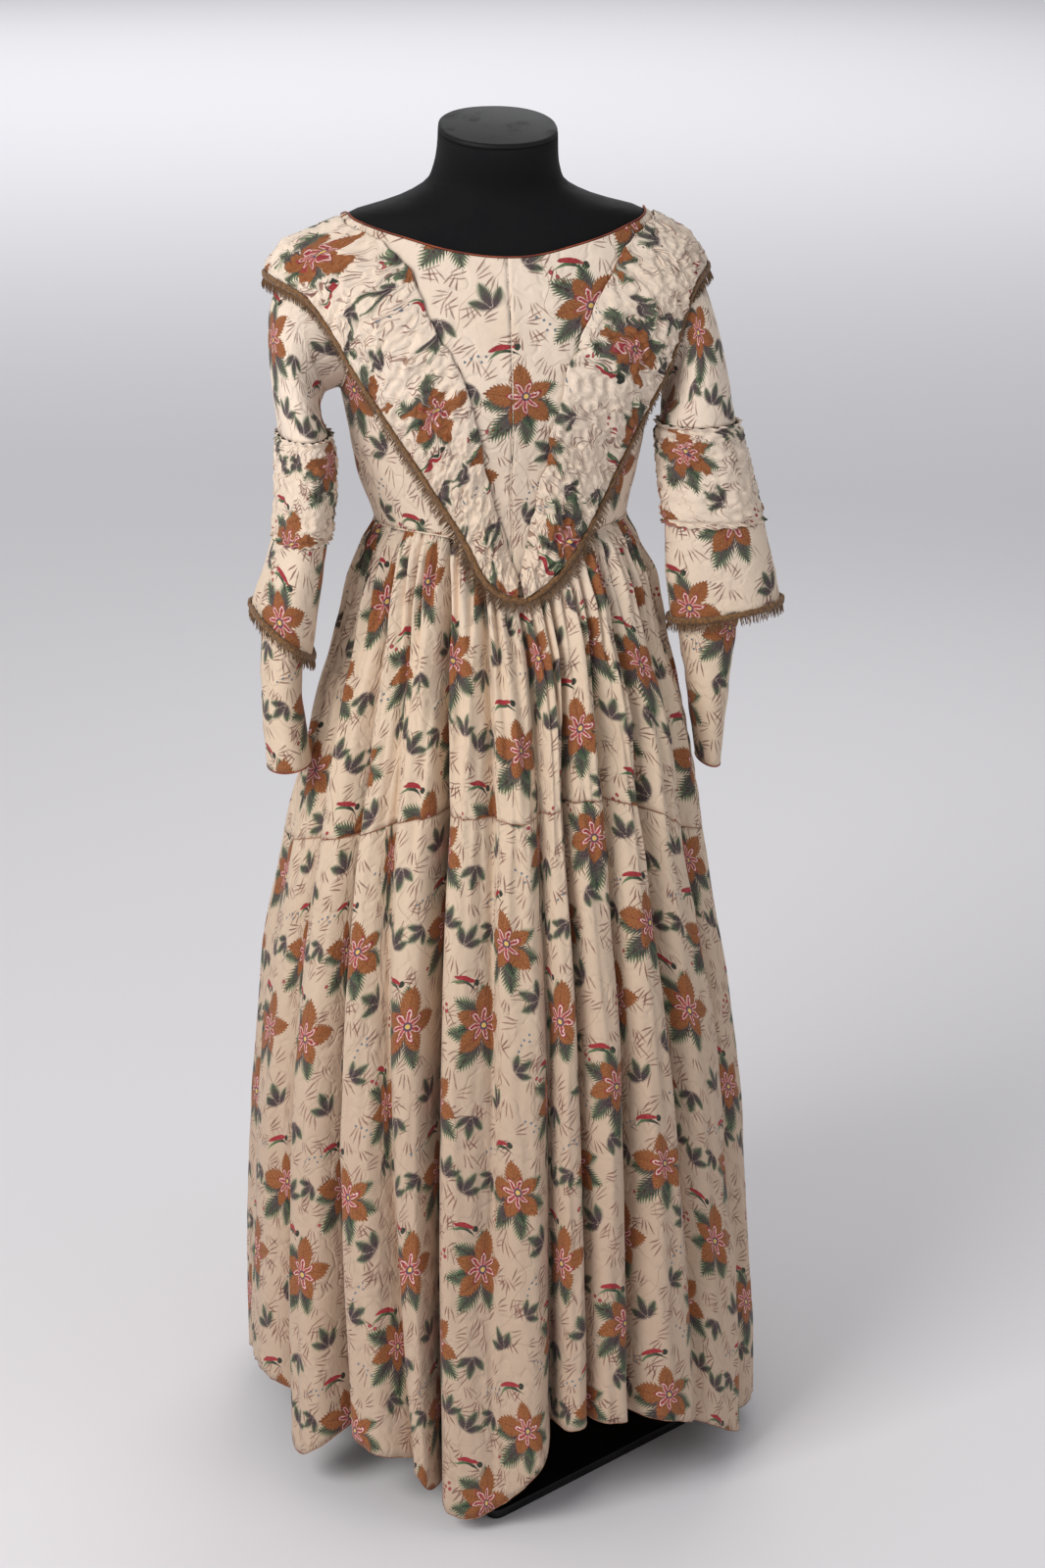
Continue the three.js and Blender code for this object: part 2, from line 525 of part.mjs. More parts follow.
/** A thin cord of six sides along a closed or open line of points. */
function cord(line, radius, closed, sides) {
  const n = line.length;
  const rings = line.map((p, i) => {
    const before = line[closed ? (i + n - 1) % n : Math.max(i - 1, 0)];
    const after = line[closed ? (i + 1) % n : Math.min(i + 1, n - 1)];
    const along = after.clone().sub(before).normalize();
    const out = vec(p.x, p.y, 0).normalize();
    out.addScaledVector(along, -out.dot(along)).normalize();
    const up = along.clone().cross(out).normalize();
    return Array.from({ length: sides }, (_, k) => {
      const a = 2 * Math.PI * k / sides + Math.PI;
      return p.clone().addScaledVector(out, radius * Math.cos(a)).addScaledVector(up, radius * Math.sin(a));
    });
  });
  if (!closed) return loft(rings);
  const faces = [];
  for (let r = 0; r < n; r += 1) {
    for (let i = 0; i < sides; i += 1) {
      const [a, b] = [r * sides + i, r * sides + (i + 1) % sides];
      const [c, d] = [((r + 1) % n) * sides + i, ((r + 1) % n) * sides + (i + 1) % sides];
      faces.push([a, b, d], [a, d, c]);
    }
  }
  return solid(rings.flat(), faces);
}

function makeNeckPiping() {
  const line = steps(0, 360, 40).slice(0, -1).map((turn) => {
    const p = bodyPoint(FIGURE, turn, heightAt('neck', turn), NECK_EASE + BODICE_CLOTH / 2);
    return p.add(vec(0, 0, PIPING_RADIUS + SEAM_GAP + 0.2));
  });
  add('neck_piping', cord(line, PIPING_RADIUS, true, 4), 'piping');
}

// ---------------------------------------------------------------- puckered bands
/** Repeatable number from 0 to 1 for a pair of whole numbers. */
function hash(a, b) {
  const value = Math.sin(a * 127.1 + b * 311.7) * 43758.5453;
  return value - Math.floor(value);
}

/** Turn and height of a band's edge or of a point between its edges. */
function bandPlace(along, across, side) {
  const row = rowAt(BAND, along * (BAND.length - 1));
  return {
    turn: side * mix(row.inner, row.outer, across) + mix(row.innerLean, row.outerLean, across),
    z: mix(row.innerZ, row.outerZ, across),
  };
}

/** Place on a band's outer edge, which runs straight between its columns. */
function bandEdge(along, side) {
  const at = along * BAND_GRID.along;
  const from = Math.min(Math.floor(at), BAND_GRID.along - 1);
  const [a, b] = [from, from + 1].map((i) => bandPlace(i / BAND_GRID.along, 1, side));
  return { turn: mix(a.turn, b.turn, at - from), z: mix(a.z, b.z, at - from) };
}

function puckeredBand(name, side) {
  const alongs = steps(0, 1, BAND_GRID.along);
  const acrosses = steps(0, 1, BAND_GRID.across);
  const grid = (raise) => acrosses.map((u, j) => alongs.map((s, i) => {
    const { turn, z } = bandPlace(s, u, side);
    const inside = j > 0 && j < BAND_GRID.across && i > 0 && i < BAND_GRID.along;
    const bump = inside ? ((i + j) % 2) * (0.5 + 0.5 * hash(i, j + 9 * side)) : 0.3;
    return bodyPoint(OVERLAY, turn, z, raise ? BAND_CLOTH + PUCKER.band * bump : 0);
  }));
  add(name, wall(grid(true), grid(false), false), 'cotton');
}

// ---------------------------------------------------------------- skirt
const VALLEY_TURNS = ['waist', 'seam', 'hem'];

/** Valley i, counted on past a whole turn. */
function valley(i) {
  const n = VALLEYS.length;
  const lap = Math.floor(i / n);
  const row = VALLEYS[i - lap * n];
  const turned = { ...row };
  for (const key of VALLEY_TURNS) turned[key] += 360 * lap;
  return turned;
}

/** Outer point of the skirt: fold i, part t of the way across it, level 0 waist, 1 seam, 2 hem. */
function skirtPoint(i, t, level, gather, out = 0) {
  const [a, b] = [valley(i), valley(i + 1)];
  const upper = level <= 1;
  const [top, low] = upper ? ['waist', 'seam'] : ['seam', 'hem'];
  const part = upper ? level : level - 1;
  const turn = mix(mix(a[top], b[top], t), mix(a[low], b[low], t), part);
  const z = mix(upper ? waistEdge(turn) : heightAt('seam', turn), heightAt(low, turn), part);
  const depthOf = (v) => (upper ? v.seamDeep * Math.max(part, 0.05) ** 0.8
    : mix(v.seamDeep, v.hemDeep, part));
  const deepest = t < 0.5 ? depthOf(a) : depthOf(b);
  const deep = mix(depthOf(a), depthOf(b), t) * Math.abs(2 * t - 1) ** (FOLD.power + deepest * FOLD.sharper);
  const below = heightAt('waist', turn) - z;
  const snug = bodyPoint(FIGURE, turn, z, FORM_EASE + BODICE_CLOTH + 5);
  const full = bodyPoint(SKIRT_REACH, turn, z, 0);
  const reach = snug.lerp(full, ease(below / 70));
  const swell = gather * GATHER.deep * (1 - ease(below / GATHER.reach)) / 2;
  const radius = Math.hypot(reach.x, reach.y);
  const scale = (radius - deep + swell + out) / radius;
  return vec(reach.x * scale, reach.y * scale, z);
}

/** Columns of a tier: the fold, the place across it, and whether a gather rises there. */
function tierColumns(from, to, perFold) {
  const columns = [];
  for (let i = from; i < to; i += 1) {
    const count = perFold || 2 * valley(i).gathers;
    for (let k = 0; k < count; k += 1) {
      columns.push({ i, t: k / count, gather: k % 2 ? 1 : -1 });
    }
  }
  columns.push({ i: to - 1, t: 1, gather: -1 });
  return columns;
}

/** One panel of a tier, cut a hair narrower than its place at both side seams. */
function skirtPanel(name, from, to, levels, perFold, topDrop, bottomLift) {
  const columns = tierColumns(from, to, perFold);
  columns[0].t += 0.006;
  columns[columns.length - 1].t -= 0.006;
  const outer = levels.map((level, r) => columns.map((c) => {
    const p = skirtPoint(c.i, c.t, level, c.gather);
    if (r === 0) p.z -= topDrop;
    if (r === levels.length - 1) p.z += bottomLift;
    return p;
  }));
  const inner = outer.map((ring) => shrinkRing(ring, SKIRT_CLOTH, false));
  add(name, wall(outer, inner, false), 'cotton');
}

function makeSkirt() {
  const { from, to } = FRONT_VALLEYS;
  const last = from + VALLEYS.length;
  const upper = [0, 0.13, 0.33, 0.64, 1];
  const lower = [1, 1.14, 1.36, 1.6, 1.82, 2];
  const pipe = PIPING_RADIUS + SEAM_GAP + 0.2;
  skirtPanel('skirt_upper_front', from, to, upper, 0, WAIST_DROP, pipe);
  skirtPanel('skirt_upper_back', to, last, upper, 0, WAIST_DROP, pipe);
  skirtPanel('skirt_lower_front', from, to, lower, 5, pipe, 0);
  skirtPanel('skirt_lower_back_right', to, CENTRE_BACK_VALLEY, lower, 5, pipe, 0);
  skirtPanel('skirt_lower_back_left', CENTRE_BACK_VALLEY, last, lower, 5, pipe, 0);
}

function skirtPiping(name, from, to) {
  const columns = tierColumns(from, to, 5);
  columns[0].t += 0.01;
  columns[columns.length - 1].t -= 0.01;
  const line = columns.map((c) => skirtPoint(c.i, c.t, 1, 0, 0.2));
  add(name, cord(line, PIPING_RADIUS, false, 4), 'piping');
}

// ---------------------------------------------------------------- sleeves
/** Height below which the sleeve head is free of the puckered band. */
const HEAD = { free: 1152, under: 1190, clear: 3.7 };

/** Pulls a point of the sleeve head inside the surface that the band lies on. */
function tuckUnder(p, more) {
  const need = ease((p.z - HEAD.free) / (HEAD.under - HEAD.free));
  const depth = smooth(OVERLAY, 'z', p.y < 0 ? 'front' : 'back', p.z) - HEAD.clear - more;
  const wide = smooth(OVERLAY, 'z', 'wide', p.z) - HEAD.clear - more;
  const shift = smooth(OVERLAY, 'z', 'shift', p.z);
  const size = (Math.abs(p.x - shift) / wide) ** SECTION_POWER
    + (Math.abs(p.y) / depth) ** SECTION_POWER;
  const pull = size > 1 ? mix(1, size ** (-1 / SECTION_POWER), need) : 1;
  return vec(shift + (p.x - shift) * pull, p.y * pull, p.z);
}

/** Point of a sleeve section at an angle, moved out by a thickness. */
function sleevePoint(row, side, angle, out) {
  const middle = vec((row.overX + row.underX) / 2, row.y, (row.overZ + row.underZ) / 2);
  const over = vec(row.overX - row.underX, 0, row.overZ - row.underZ);
  const half = over.length() / 2 + out;
  const p = middle.addScaledVector(over.normalize(), half * Math.cos(angle));
  p.y += (row.deep + out) * Math.sin(angle);
  return vec(side * p.x, p.y, p.z);
}

/** Point of the armhole seam on the bodice's surface. */
function armholePoint(side, angle, out) {
  const y = ARMHOLE.y + (ARMHOLE.deep + out) * Math.sin(angle);
  const z = ARMHOLE.z + (ARMHOLE.high + out) * Math.cos(angle);
  const x = bodySide(FIGURE, side, y, z, FORM_EASE + BODICE_CLOTH) + side * ARMHOLE.proud;
  return vec(x, y, z);
}

const anglesOf = (count) => Array.from({ length: count }, (_, k) => 2 * Math.PI * k / count);

function sleeveUpper(name, { side, upper }) {
  const angles = anglesOf(SLEEVE_AROUND.upper);
  const rows = steps(0, upper.length - 1, 5).map((k) => rowAt(upper, k));
  const grid = (out) => [
    angles.map((a) => armholePoint(side, a, out)),
    ...rows.map((row) => angles.map((a) => tuckUnder(sleevePoint(row, side, a, out), -out))),
  ];
  add(name, wall(grid(SLEEVE_CLOTH), grid(0), true), 'cotton');
}

/** A tube through a sleeve table, with puckers raised on its outer points if asked. */
function sleeveTube(name, table, side, around, rows, puckered) {
  const angles = anglesOf(around);
  const levels = steps(0, table.length - 1, rows);
  const grid = (cloth) => levels.map((k, r) => angles.map((a, j) => {
    const edge = r === 0 || r === rows;
    const bump = edge ? PUCKER.frill * (j % 2) : PUCKER.sleeve * ((r + j) % 2) * (0.5 + 0.5 * hash(r, j));
    return sleevePoint(rowAt(table, k), side, a, cloth + (puckered && cloth > 0 ? bump : 0));
  }));
  add(name, wall(grid(SLEEVE_CLOTH), grid(0), true), 'cotton');
}

function makeSleeves() {
  for (const [word, sleeve] of Object.entries(SLEEVES)) {
    sleeveUpper(`sleeve_upper_${word}`, sleeve);
    sleeveTube(`sleeve_puckered_${word}`, sleeve.puckered, sleeve.side, SLEEVE_AROUND.puckered, 5, true);
    sleeveTube(`sleeve_bell_${word}`, sleeve.bell, sleeve.side, SLEEVE_AROUND.bell, 3, false);
    sleeveTube(`sleeve_lower_${word}`, sleeve.lower, sleeve.side, SLEEVE_AROUND.lower, 4, false);
  }
}

// ---------------------------------------------------------------- fringe
/** A wedge-shaped braid along a line with thin strands hanging from its lower face. */
function fringe(name, line, outs, tips) {
  const points = [];
  const faces = [];
  const quad = (a, b, c, d) => faces.push([a, b, c], [a, c, d]);
  line.forEach((p, i) => {
    const low = p.clone().add(vec(0, 0, -FRINGE.strip));
    points.push(p.clone(), low.clone().addScaledVector(outs[i], FRINGE.thick), low);
  });
  const count = line.length;
  for (let i = 0; i < count - 1; i += 1) {
    const [a, b] = [3 * i, 3 * i + 3];
    quad(a, a + 1, b + 1, b);
    quad(a + 2, a, b, b + 2);
    if (tips[i]) {
      const tip = points.length;
      points.push(tips[i]);
      faces.push([a + 1, a + 2, tip], [a + 2, b + 2, tip], [b + 2, b + 1, tip], [b + 1, a + 1, tip]);
    } else {
      quad(a + 1, a + 2, b + 2, b + 1);
    }
  }
  const end = 3 * (count - 1);
  faces.push([0, 2, 1], [end, end + 1, end + 2]);
  add(name, solid(points, faces), 'braid');
}

/** Points along a smooth path at pairs of distances, one pair for each strand. */
function strandStations(path) {
  const lengths = [0];
  for (let i = 1; i < path.length; i += 1) {
    lengths.push(lengths[i - 1] + path[i].distanceTo(path[i - 1]));
  }
  const total = lengths[lengths.length - 1];
  const strands = Math.floor(total / FRINGE.step);
  const stations = [];
  const partAt = (length) => {
    let i = 1;
    while (i < path.length - 1 && lengths[i] < length) i += 1;
    const t = (length - lengths[i - 1]) / (lengths[i] - lengths[i - 1]);
    return (i - 1 + clamp(t, 0, 1)) / (path.length - 1);
  };
  for (let k = 0; k < strands; k += 1) {
    const middle = (k + 0.5) * total / strands;
    stations.push(partAt(middle - FRINGE.root / 2), partAt(middle + FRINGE.root / 2));
  }
  return stations;
}

/** The skirt's outer radius at a turn and height below the waist seam. */
function skirtRadius(turn, z) {
  for (let i = 0; i < VALLEYS.length; i += 1) {
    const [a, b] = [valley(i), valley(i + 1)];
    const at = turn < a.waist ? turn + 360 : turn;
    if (at >= a.waist && at <= b.waist) {
      const top = heightAt('waist', turn);
      const level = clamp((top - z) / (top - heightAt('seam', turn)), 0, 1);
      const p = skirtPoint(i, (at - a.waist) / (b.waist - a.waist), level, 1);
      return Math.hypot(p.x, p.y);
    }
  }
  return 0;
}

/** Outward distance at which a strand of the band's fringe is clear of what is under it. */
function clearRadius(turn, z) {
  const over = bodyPoint(OVERLAY, turn, z, 1);
  const skirt = z < heightAt('waist', turn) + 1 ? skirtRadius(turn, z) + 2.5 : 0;
  return Math.max(Math.hypot(over.x, over.y), skirt);
}

function bandFringe(name, side) {
  const place = (s) => {
    const { turn, z } = bandEdge(clamp(s, 0, 1), side);
    return { turn, z: z - FRINGE.off };
  };
  const lift = (turn, z) => {
    const p = bodyPoint(OVERLAY, turn, z, 0.5);
    const out = vec(p.x, p.y, 0).normalize();
    const low = clearRadius(turn, z - FRINGE.strip);
    const reach = Math.max(Math.hypot(p.x, p.y), low);
    return { p: vec(out.x * reach, out.y * reach, z), out };
  };
  const path = steps(0, 1, 120).map((s) => {
    const { turn, z } = place(mix(0.012, 0.988, s));
    return lift(turn, z).p;
  });
  const parts = strandStations(path).map((part) => mix(0.012, 0.988, part));
  const tops = parts.map((s) => lift(place(s).turn, place(s).z));
  const tips = parts.map((s, k) => {
    if (k % 2 || k === parts.length - 1) return null;
    const { turn, z } = place((s + parts[k + 1]) / 2);
    const { p, out } = lift(turn, z);
    const tipZ = z - FRINGE.strip - FRINGE.strand;
    const reach = Math.max(Math.hypot(p.x, p.y), clearRadius(turn, tipZ)) + 1.5;
    return vec(out.x * reach, out.y * reach, tipZ);
  });
  fringe(name, tops.map((t) => t.p), tops.map((t) => t.out), tips);
}

function bellFringe(name, { side, bell }) {
  const hem = rowAt(bell, bell.length - 1);
  const clear = SLEEVE_CLOTH + 1;
  const spot = (part) => {
    const angle = 2 * Math.PI * mix(0.01, 0.99, part);
    const p = sleevePoint(hem, side, angle, clear);
    const middle = sleevePoint(hem, side, angle, 0);
    const out = vec(p.x - middle.x, p.y - middle.y, 0).normalize();
    return { p: p.add(vec(0, 0, 4)), out };
  };
  const path = steps(0, 1, 60).map((part) => spot(part).p);
  const parts = strandStations(path);
  const tops = parts.map(spot);
  const tips = parts.map((part, k) => {
    if (k % 2 || k === parts.length - 1) return null;
    const { p, out } = spot((part + parts[k + 1]) / 2);
    return p.addScaledVector(out, 1.2).add(vec(0, 0, -FRINGE.strip - FRINGE.strand));
  });
  fringe(name, tops.map((t) => t.p), tops.map((t) => t.out), tips);
}

// ---------------------------------------------------------------- the whole
makeForm();
makeStand();
makeBodice();
makeNeckPiping();
puckeredBand('puckered_band_left', -1);
puckeredBand('puckered_band_right', 1);
makeSkirt();
skirtPiping('skirt_piping_front', FRONT_VALLEYS.from, FRONT_VALLEYS.to);
skirtPiping('skirt_piping_back', FRONT_VALLEYS.to, FRONT_VALLEYS.from + VALLEYS.length);
makeSleeves();
bandFringe('band_fringe_left', -1);
bandFringe('band_fringe_right', 1);
bellFringe('bell_fringe_left', SLEEVES.left);
bellFringe('bell_fringe_right', SLEEVES.right);

export default dress;
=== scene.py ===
"""Evening dress of printed cotton on a limbless dress form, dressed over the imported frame.

Lengths in the tables and the shape functions are millimetres; meshes, cloth maps and
materials are in metres. A turn of 0 is centre front, +90 the +X side and 180 centre back.
"""
import json
import logging
import math
from dataclasses import dataclass, field
from enum import Enum

import bmesh
import bpy
import numpy as np
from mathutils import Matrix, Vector

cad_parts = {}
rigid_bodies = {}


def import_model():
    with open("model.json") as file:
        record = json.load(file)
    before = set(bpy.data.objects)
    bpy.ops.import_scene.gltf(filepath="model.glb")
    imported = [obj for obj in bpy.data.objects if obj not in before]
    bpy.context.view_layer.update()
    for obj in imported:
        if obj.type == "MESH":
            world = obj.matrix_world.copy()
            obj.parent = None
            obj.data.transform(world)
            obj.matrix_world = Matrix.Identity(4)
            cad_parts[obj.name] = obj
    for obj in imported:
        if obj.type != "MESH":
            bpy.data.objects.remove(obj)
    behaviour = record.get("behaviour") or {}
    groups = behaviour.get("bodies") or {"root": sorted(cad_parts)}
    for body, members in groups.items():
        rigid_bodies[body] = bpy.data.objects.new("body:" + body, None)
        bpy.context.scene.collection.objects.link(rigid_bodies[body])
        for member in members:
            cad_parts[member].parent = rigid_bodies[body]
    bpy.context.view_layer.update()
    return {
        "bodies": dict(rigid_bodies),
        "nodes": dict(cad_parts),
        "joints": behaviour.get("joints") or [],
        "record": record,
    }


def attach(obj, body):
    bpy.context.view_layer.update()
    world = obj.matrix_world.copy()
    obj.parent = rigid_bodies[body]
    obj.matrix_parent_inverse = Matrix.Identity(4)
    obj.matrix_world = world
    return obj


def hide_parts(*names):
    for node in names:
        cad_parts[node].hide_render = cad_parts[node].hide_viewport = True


MM = 0.001
CLOTH_MAP = "Cloth"
ROOT = "root"
LOG = logging.getLogger("dress")

BODICE_CLOTH = 1.5
SLEEVE_CLOTH = 1.5
BAND_CLOTH = 1.6
FORM_EASE = 3.0
NECK_EASE = 0.9
PANEL_STEP = 9.0
SECTION_POWER = 2.2
SEAM_GAP = 0.3
WAIST_DROP = 1.15
FORM_LOW = 740.0
FORM_TOP = 1376.0
NECK_LEAN = -15.0
NECK_LEAN_FROM = 1310.0
NECK_TILT = 0.24
CHEST = 1130.0
CORD_SIDES = 8
LEVEL = np.array([1.0, 1.0, 0.0])
UP = np.array([0.0, 0.0, 1.0])



# ------------------------------------------------------------------ tables of the pattern
@dataclass(frozen=True)
class Section:
    """A level cut through the body: half width, depths in front and behind, sideways shift."""

    z: float
    wide: float
    front: float
    back: float
    shift: float


@dataclass(frozen=True)
class Edge:
    """Heights of the bodice's neck and waist edges at a turn."""

    turn: float
    neck: float
    waist: float


@dataclass(frozen=True)
class Line:
    """Height of the tier seam or of the hem at a turn."""

    turn: float
    z: float


@dataclass(frozen=True)
class Valley:
    """A valley between two skirt folds: its turns, its depths and the gathers beyond it."""

    waist: float
    seam: float
    hem: float
    seam_deep: float
    hem_deep: float
    gathers: int


@dataclass(frozen=True)
class BandRow:
    """Both edges of the puckered band at one station along it."""

    inner: float
    inner_z: float
    inner_lean: float
    outer: float
    outer_z: float
    outer_lean: float


@dataclass(frozen=True)
class Cuff:
    """A sleeve section: its outer and inner ends in the X-Z plane, its middle and half depth."""

    over_x: float
    over_z: float
    under_x: float
    under_z: float
    y: float
    deep: float


def table(kind: type, *rows: tuple) -> tuple:
    """Rows of a table, whose columns are named by the kind of row."""
    return tuple(kind(*row) for row in rows)


FIGURE = table(
    Section,
    (740, 140, 84, 100, 0), (800, 146, 102, 110, 0), (860, 144, 101, 106, 1),
    (910, 135, 92, 93, 1), (950, 126, 83, 79, 2), (990, 123, 75, 71, 4), (1040, 137, 83, 75, 1),
    (1090, 147, 98, 81, 1), (1130, 153, 105, 85, 0), (1180, 164, 97, 87, 0),
    (1220, 174, 85, 85, 0), (1250, 174, 73, 79, 0), (1275, 165, 63, 71, 0),
    (1297, 146, 55, 62, 0), (1310, 101, 53, 59, 0), (1325, 70, 53, 56, 0), (1340, 62, 54, 55, 0),
    (1356, 59, 55, 55, 0), (1376, 58, 55, 55, 0),
)
OVERLAY = table(
    Section,
    (900, 144, 104, 104, 0), (950, 138, 96, 92, 0), (990, 135, 88, 84, 2),
    (1040, 148, 90.8, 83, 0), (1090, 163, 102.8, 86, 0), (1130, 181, 109.7, 90, 0),
    (1180, 206, 105, 94.5, -3), (1220, 219, 94, 94, -6), (1240, 217, 86, 89, -8),
    (1258, 206, 78, 83, -8), (1275, 193, 70, 78, -7), (1290, 177, 64, 71, -4),
    (1304, 151, 61, 66, -1),
)
SKIRT_REACH = table(
    Section,
    (20, 274, 303, 326, -1), (100, 274, 297, 322, -1), (210, 270, 285, 313, -2),
    (310, 263, 273, 300, -3), (410, 255, 259, 283, -3), (510, 243, 241, 263, -3),
    (610, 225, 220, 240, -4), (710, 206, 194, 214, -2), (810, 186, 160, 174, 2),
    (860, 171, 138, 149, 3), (910, 156, 117, 123, 4), (950, 146, 103, 104, 5),
    (1000, 131, 84, 80, 4),
)
BODICE_LINES = table(
    Edge,
    (-180, 1268, 984), (-150, 1273, 986), (-120, 1284, 989), (-90, 1297, 992), (-62, 1292, 992),
    (-36, 1280, 990), (-18, 1268, 981), (-11, 1264, 957), (-4, 1261, 937), (2.7, 1260, 922),
    (10, 1262, 937), (20, 1268, 956), (32, 1275, 981), (55, 1288, 990), (90, 1297, 992),
    (120, 1284, 989), (150, 1273, 986), (180, 1268, 984),
)
SEAM_LINE = table(
    Line,
    (-180, 672), (-135, 664), (-100, 650), (-74, 677), (-50, 700), (-31, 725), (-14, 730),
    (0, 724), (8, 732), (18, 740), (38, 722), (57, 688), (82, 664), (120, 664), (150, 670),
    (180, 672),
)
HEM_LINE = table(
    Line,
    (-180, 34), (-150, 40), (-125, 30), (-100, 44), (-80, 92), (-68, 80), (-59, 40), (-51, 58),
    (-45, 84), (-33, 74), (-25, 60), (-21, 32), (-15, 18), (-9, 26), (-3, 52), (1, 80), (4, 108),
    (20, 106), (30, 92), (42, 66), (55, 32), (72, 25), (90, 32), (120, 30), (150, 42), (180, 34),
)
VALLEYS = table(
    Valley,
    (-90, -90, -93, 12, 20, 4), (-72, -70, -67, 14, 26, 4), (-56, -52, -45.5, 34, 82, 3),
    (-42, -39, -27, 14, 18, 3), (-28, -22, -21.5, 44, 40, 3), (-11, -7, -9, 12, 3, 3),
    (3, 5, 3, 10, 36, 3), (14, 12, 10, 22, 22, 3), (27, 25, 20, 14, 40, 3),
    (40, 38, 41, 38, 10, 4), (58, 60, 64, 16, 12, 4), (74, 80, 84, 12, 24, 3),
    (90, 97, 103, 16, 30, 4), (110, 117, 121, 22, 40, 4), (131, 138, 141, 14, 26, 4),
    (152, 159, 163, 26, 44, 4), (178, 181, 184, 14, 28, 4), (203, 203, 204, 24, 42, 4),
    (226, 225, 225, 14, 28, 4), (247, 246, 245, 18, 34, 4),
)
BAND = table(
    BandRow,
    (0.3, 948, 2.2, 1.2, 929, 2.7), (2.8, 976, 1.4, 11, 946, 3.5), (5.2, 1007, 1.2, 21, 976, 6),
    (9, 1055, 1.2, 30, 1012, 7), (12, 1106, 1.1, 38, 1055, 6.5), (17, 1165, 0.5, 46, 1101, 5),
    (25.5, 1222, 0.5, 51, 1150, 4), (36, 1266, 3, 53, 1199, 3), (56, 1286, 2.5, 61, 1231, 2),
    (86, 1295, 0, 88, 1243, 0), (122, 1284, 0, 117, 1234, 0), (147, 1268, 0, 127, 1199, 0),
    (156, 1222, 0, 131, 1150, 0), (160, 1165, 0, 138, 1101, 0), (165, 1106, 0, 147, 1055, 0),
    (171, 1055, 0, 157, 1018, 0), (175.5, 1022, 0, 169, 999, 0), (179.5, 1005, 0, 178.6, 990, 0),
)


# ------------------------------------------------------------------ numbers and surfaces
def mix(a, b, t):
    """Straight mix of a and b."""
    return a + (b - a) * t


def ease(t):
    """Smooth step from 0 to 1."""
    t = np.clip(t, 0, 1)
    return t * t * (3 - 2 * t)


def column(rows: tuple, key: str) -> np.ndarray:
    """One column of a table."""
    return np.array([getattr(row, key) for row in rows], float)


def smooth(rows: tuple, key: str, read: str, at) -> np.ndarray:
    """Smooth value of a table's column.

    Args:
        rows: the table.
        key: name of the column that is looked up.
        read: name of the column that is read.
        at: where in the key column.

    Returns:
        The value, one for each place.
    """
    return smooth_line(column(rows, key), column(rows, read), at)


def smooth_line(keys: np.ndarray, values: np.ndarray, at) -> np.ndarray:
    """Smooth curve through values at rising keys.

    Args:
        keys: rising places.
        values: one value, or one array of values, for each key.
        at: where to read.

    Returns:
        The curve's value at each place.
    """
    at = np.asarray(at, float)
    last = len(keys) - 1
    index = np.arange(last + 1)
    before, after = np.maximum(index - 1, 0), np.minimum(index + 1, last)
    tail = (1,) * (values.ndim - 1)
    slope = (values[after] - values[before]) / (keys[after] - keys[before]).reshape(-1, *tail)
    i = np.clip(np.searchsorted(keys, at, side="right") - 1, 0, last - 1)
    span = keys[i + 1] - keys[i]
    t = np.clip((at - keys[i]) / span, 0, 1).reshape(at.shape + tail)
    span = span.reshape(at.shape + tail)
    p, q = values[i], values[i + 1]
    u, v = slope[i] * span, slope[i + 1] * span
    return p + t * (u + t * (3 * (q - p) - 2 * u - v + t * (2 * (p - q) + u + v)))


def unit(vector: np.ndarray) -> np.ndarray:
    """Directions of vectors."""
    return vector / np.linalg.norm(vector, axis=-1, keepdims=True)


def run_along(path: np.ndarray) -> np.ndarray:
    """Length of a path up to each of its points."""
    return np.concatenate([[0], np.cumsum(np.linalg.norm(np.diff(path, axis=0), axis=-1))])


def count_noise(count: np.ndarray, seed: float, several: int) -> np.ndarray:
    """Several repeatable numbers from -0.5 to 0.5 for each whole number."""
    return np.stack([lattice(count, 0 * count, seed + k) - 0.5 for k in range(several)], -1)


def signed_power(value, power: float):
    """Power that keeps its sign."""
    return np.sign(value) * np.abs(value) ** power


def body_depth(rows: tuple, z, ahead) -> np.ndarray:
    """Depth of a body surface at a height, in front where ahead is true."""
    return np.where(ahead, smooth(rows, "z", "front", z), smooth(rows, "z", "back", z))


def body_point(rows: tuple, turn, z, out) -> np.ndarray:
    """Point on a body surface.

    Args:
        rows: table of sections.
        turn: degrees round the body.
        z: height.
        out: distance outside the table's surface.

    Returns:
        Points, with x, y and z last.
    """
    turn, z, out = np.broadcast_arrays(np.asarray(turn, float), z, out)
    c, s = np.cos(np.radians(turn)), np.sin(np.radians(turn))
    depth = body_depth(rows, z, c > 0) + out
    wide = smooth(rows, "z", "wide", z) + out
    power = 2 / SECTION_POWER
    x = wide * signed_power(s, power) + smooth(rows, "z", "shift", z)
    return np.stack([x, -depth * signed_power(c, power), z], -1)


def body_side(rows: tuple, side: int, y, z, out: float) -> np.ndarray:
    """X of a body surface on one side, at a distance y from its middle."""
    depth = body_depth(rows, z, y < 0) + out
    wide = smooth(rows, "z", "wide", z) + out
    part = (1 - np.minimum(1, np.abs(y) / depth) ** SECTION_POWER) ** (1 / SECTION_POWER)
    return side * wide * part + smooth(rows, "z", "shift", z)


def wrap_turn(turn):
    """Turn brought between -180 and 180."""
    return (np.asarray(turn, float) + 180) % 360 - 180


def seam_height(turn):
    """Height of the seam between the tiers."""
    return smooth(SEAM_LINE, "turn", "z", wrap_turn(turn))


def hem_height(turn):
    """Height of the hem."""
    return smooth(HEM_LINE, "turn", "z", wrap_turn(turn))


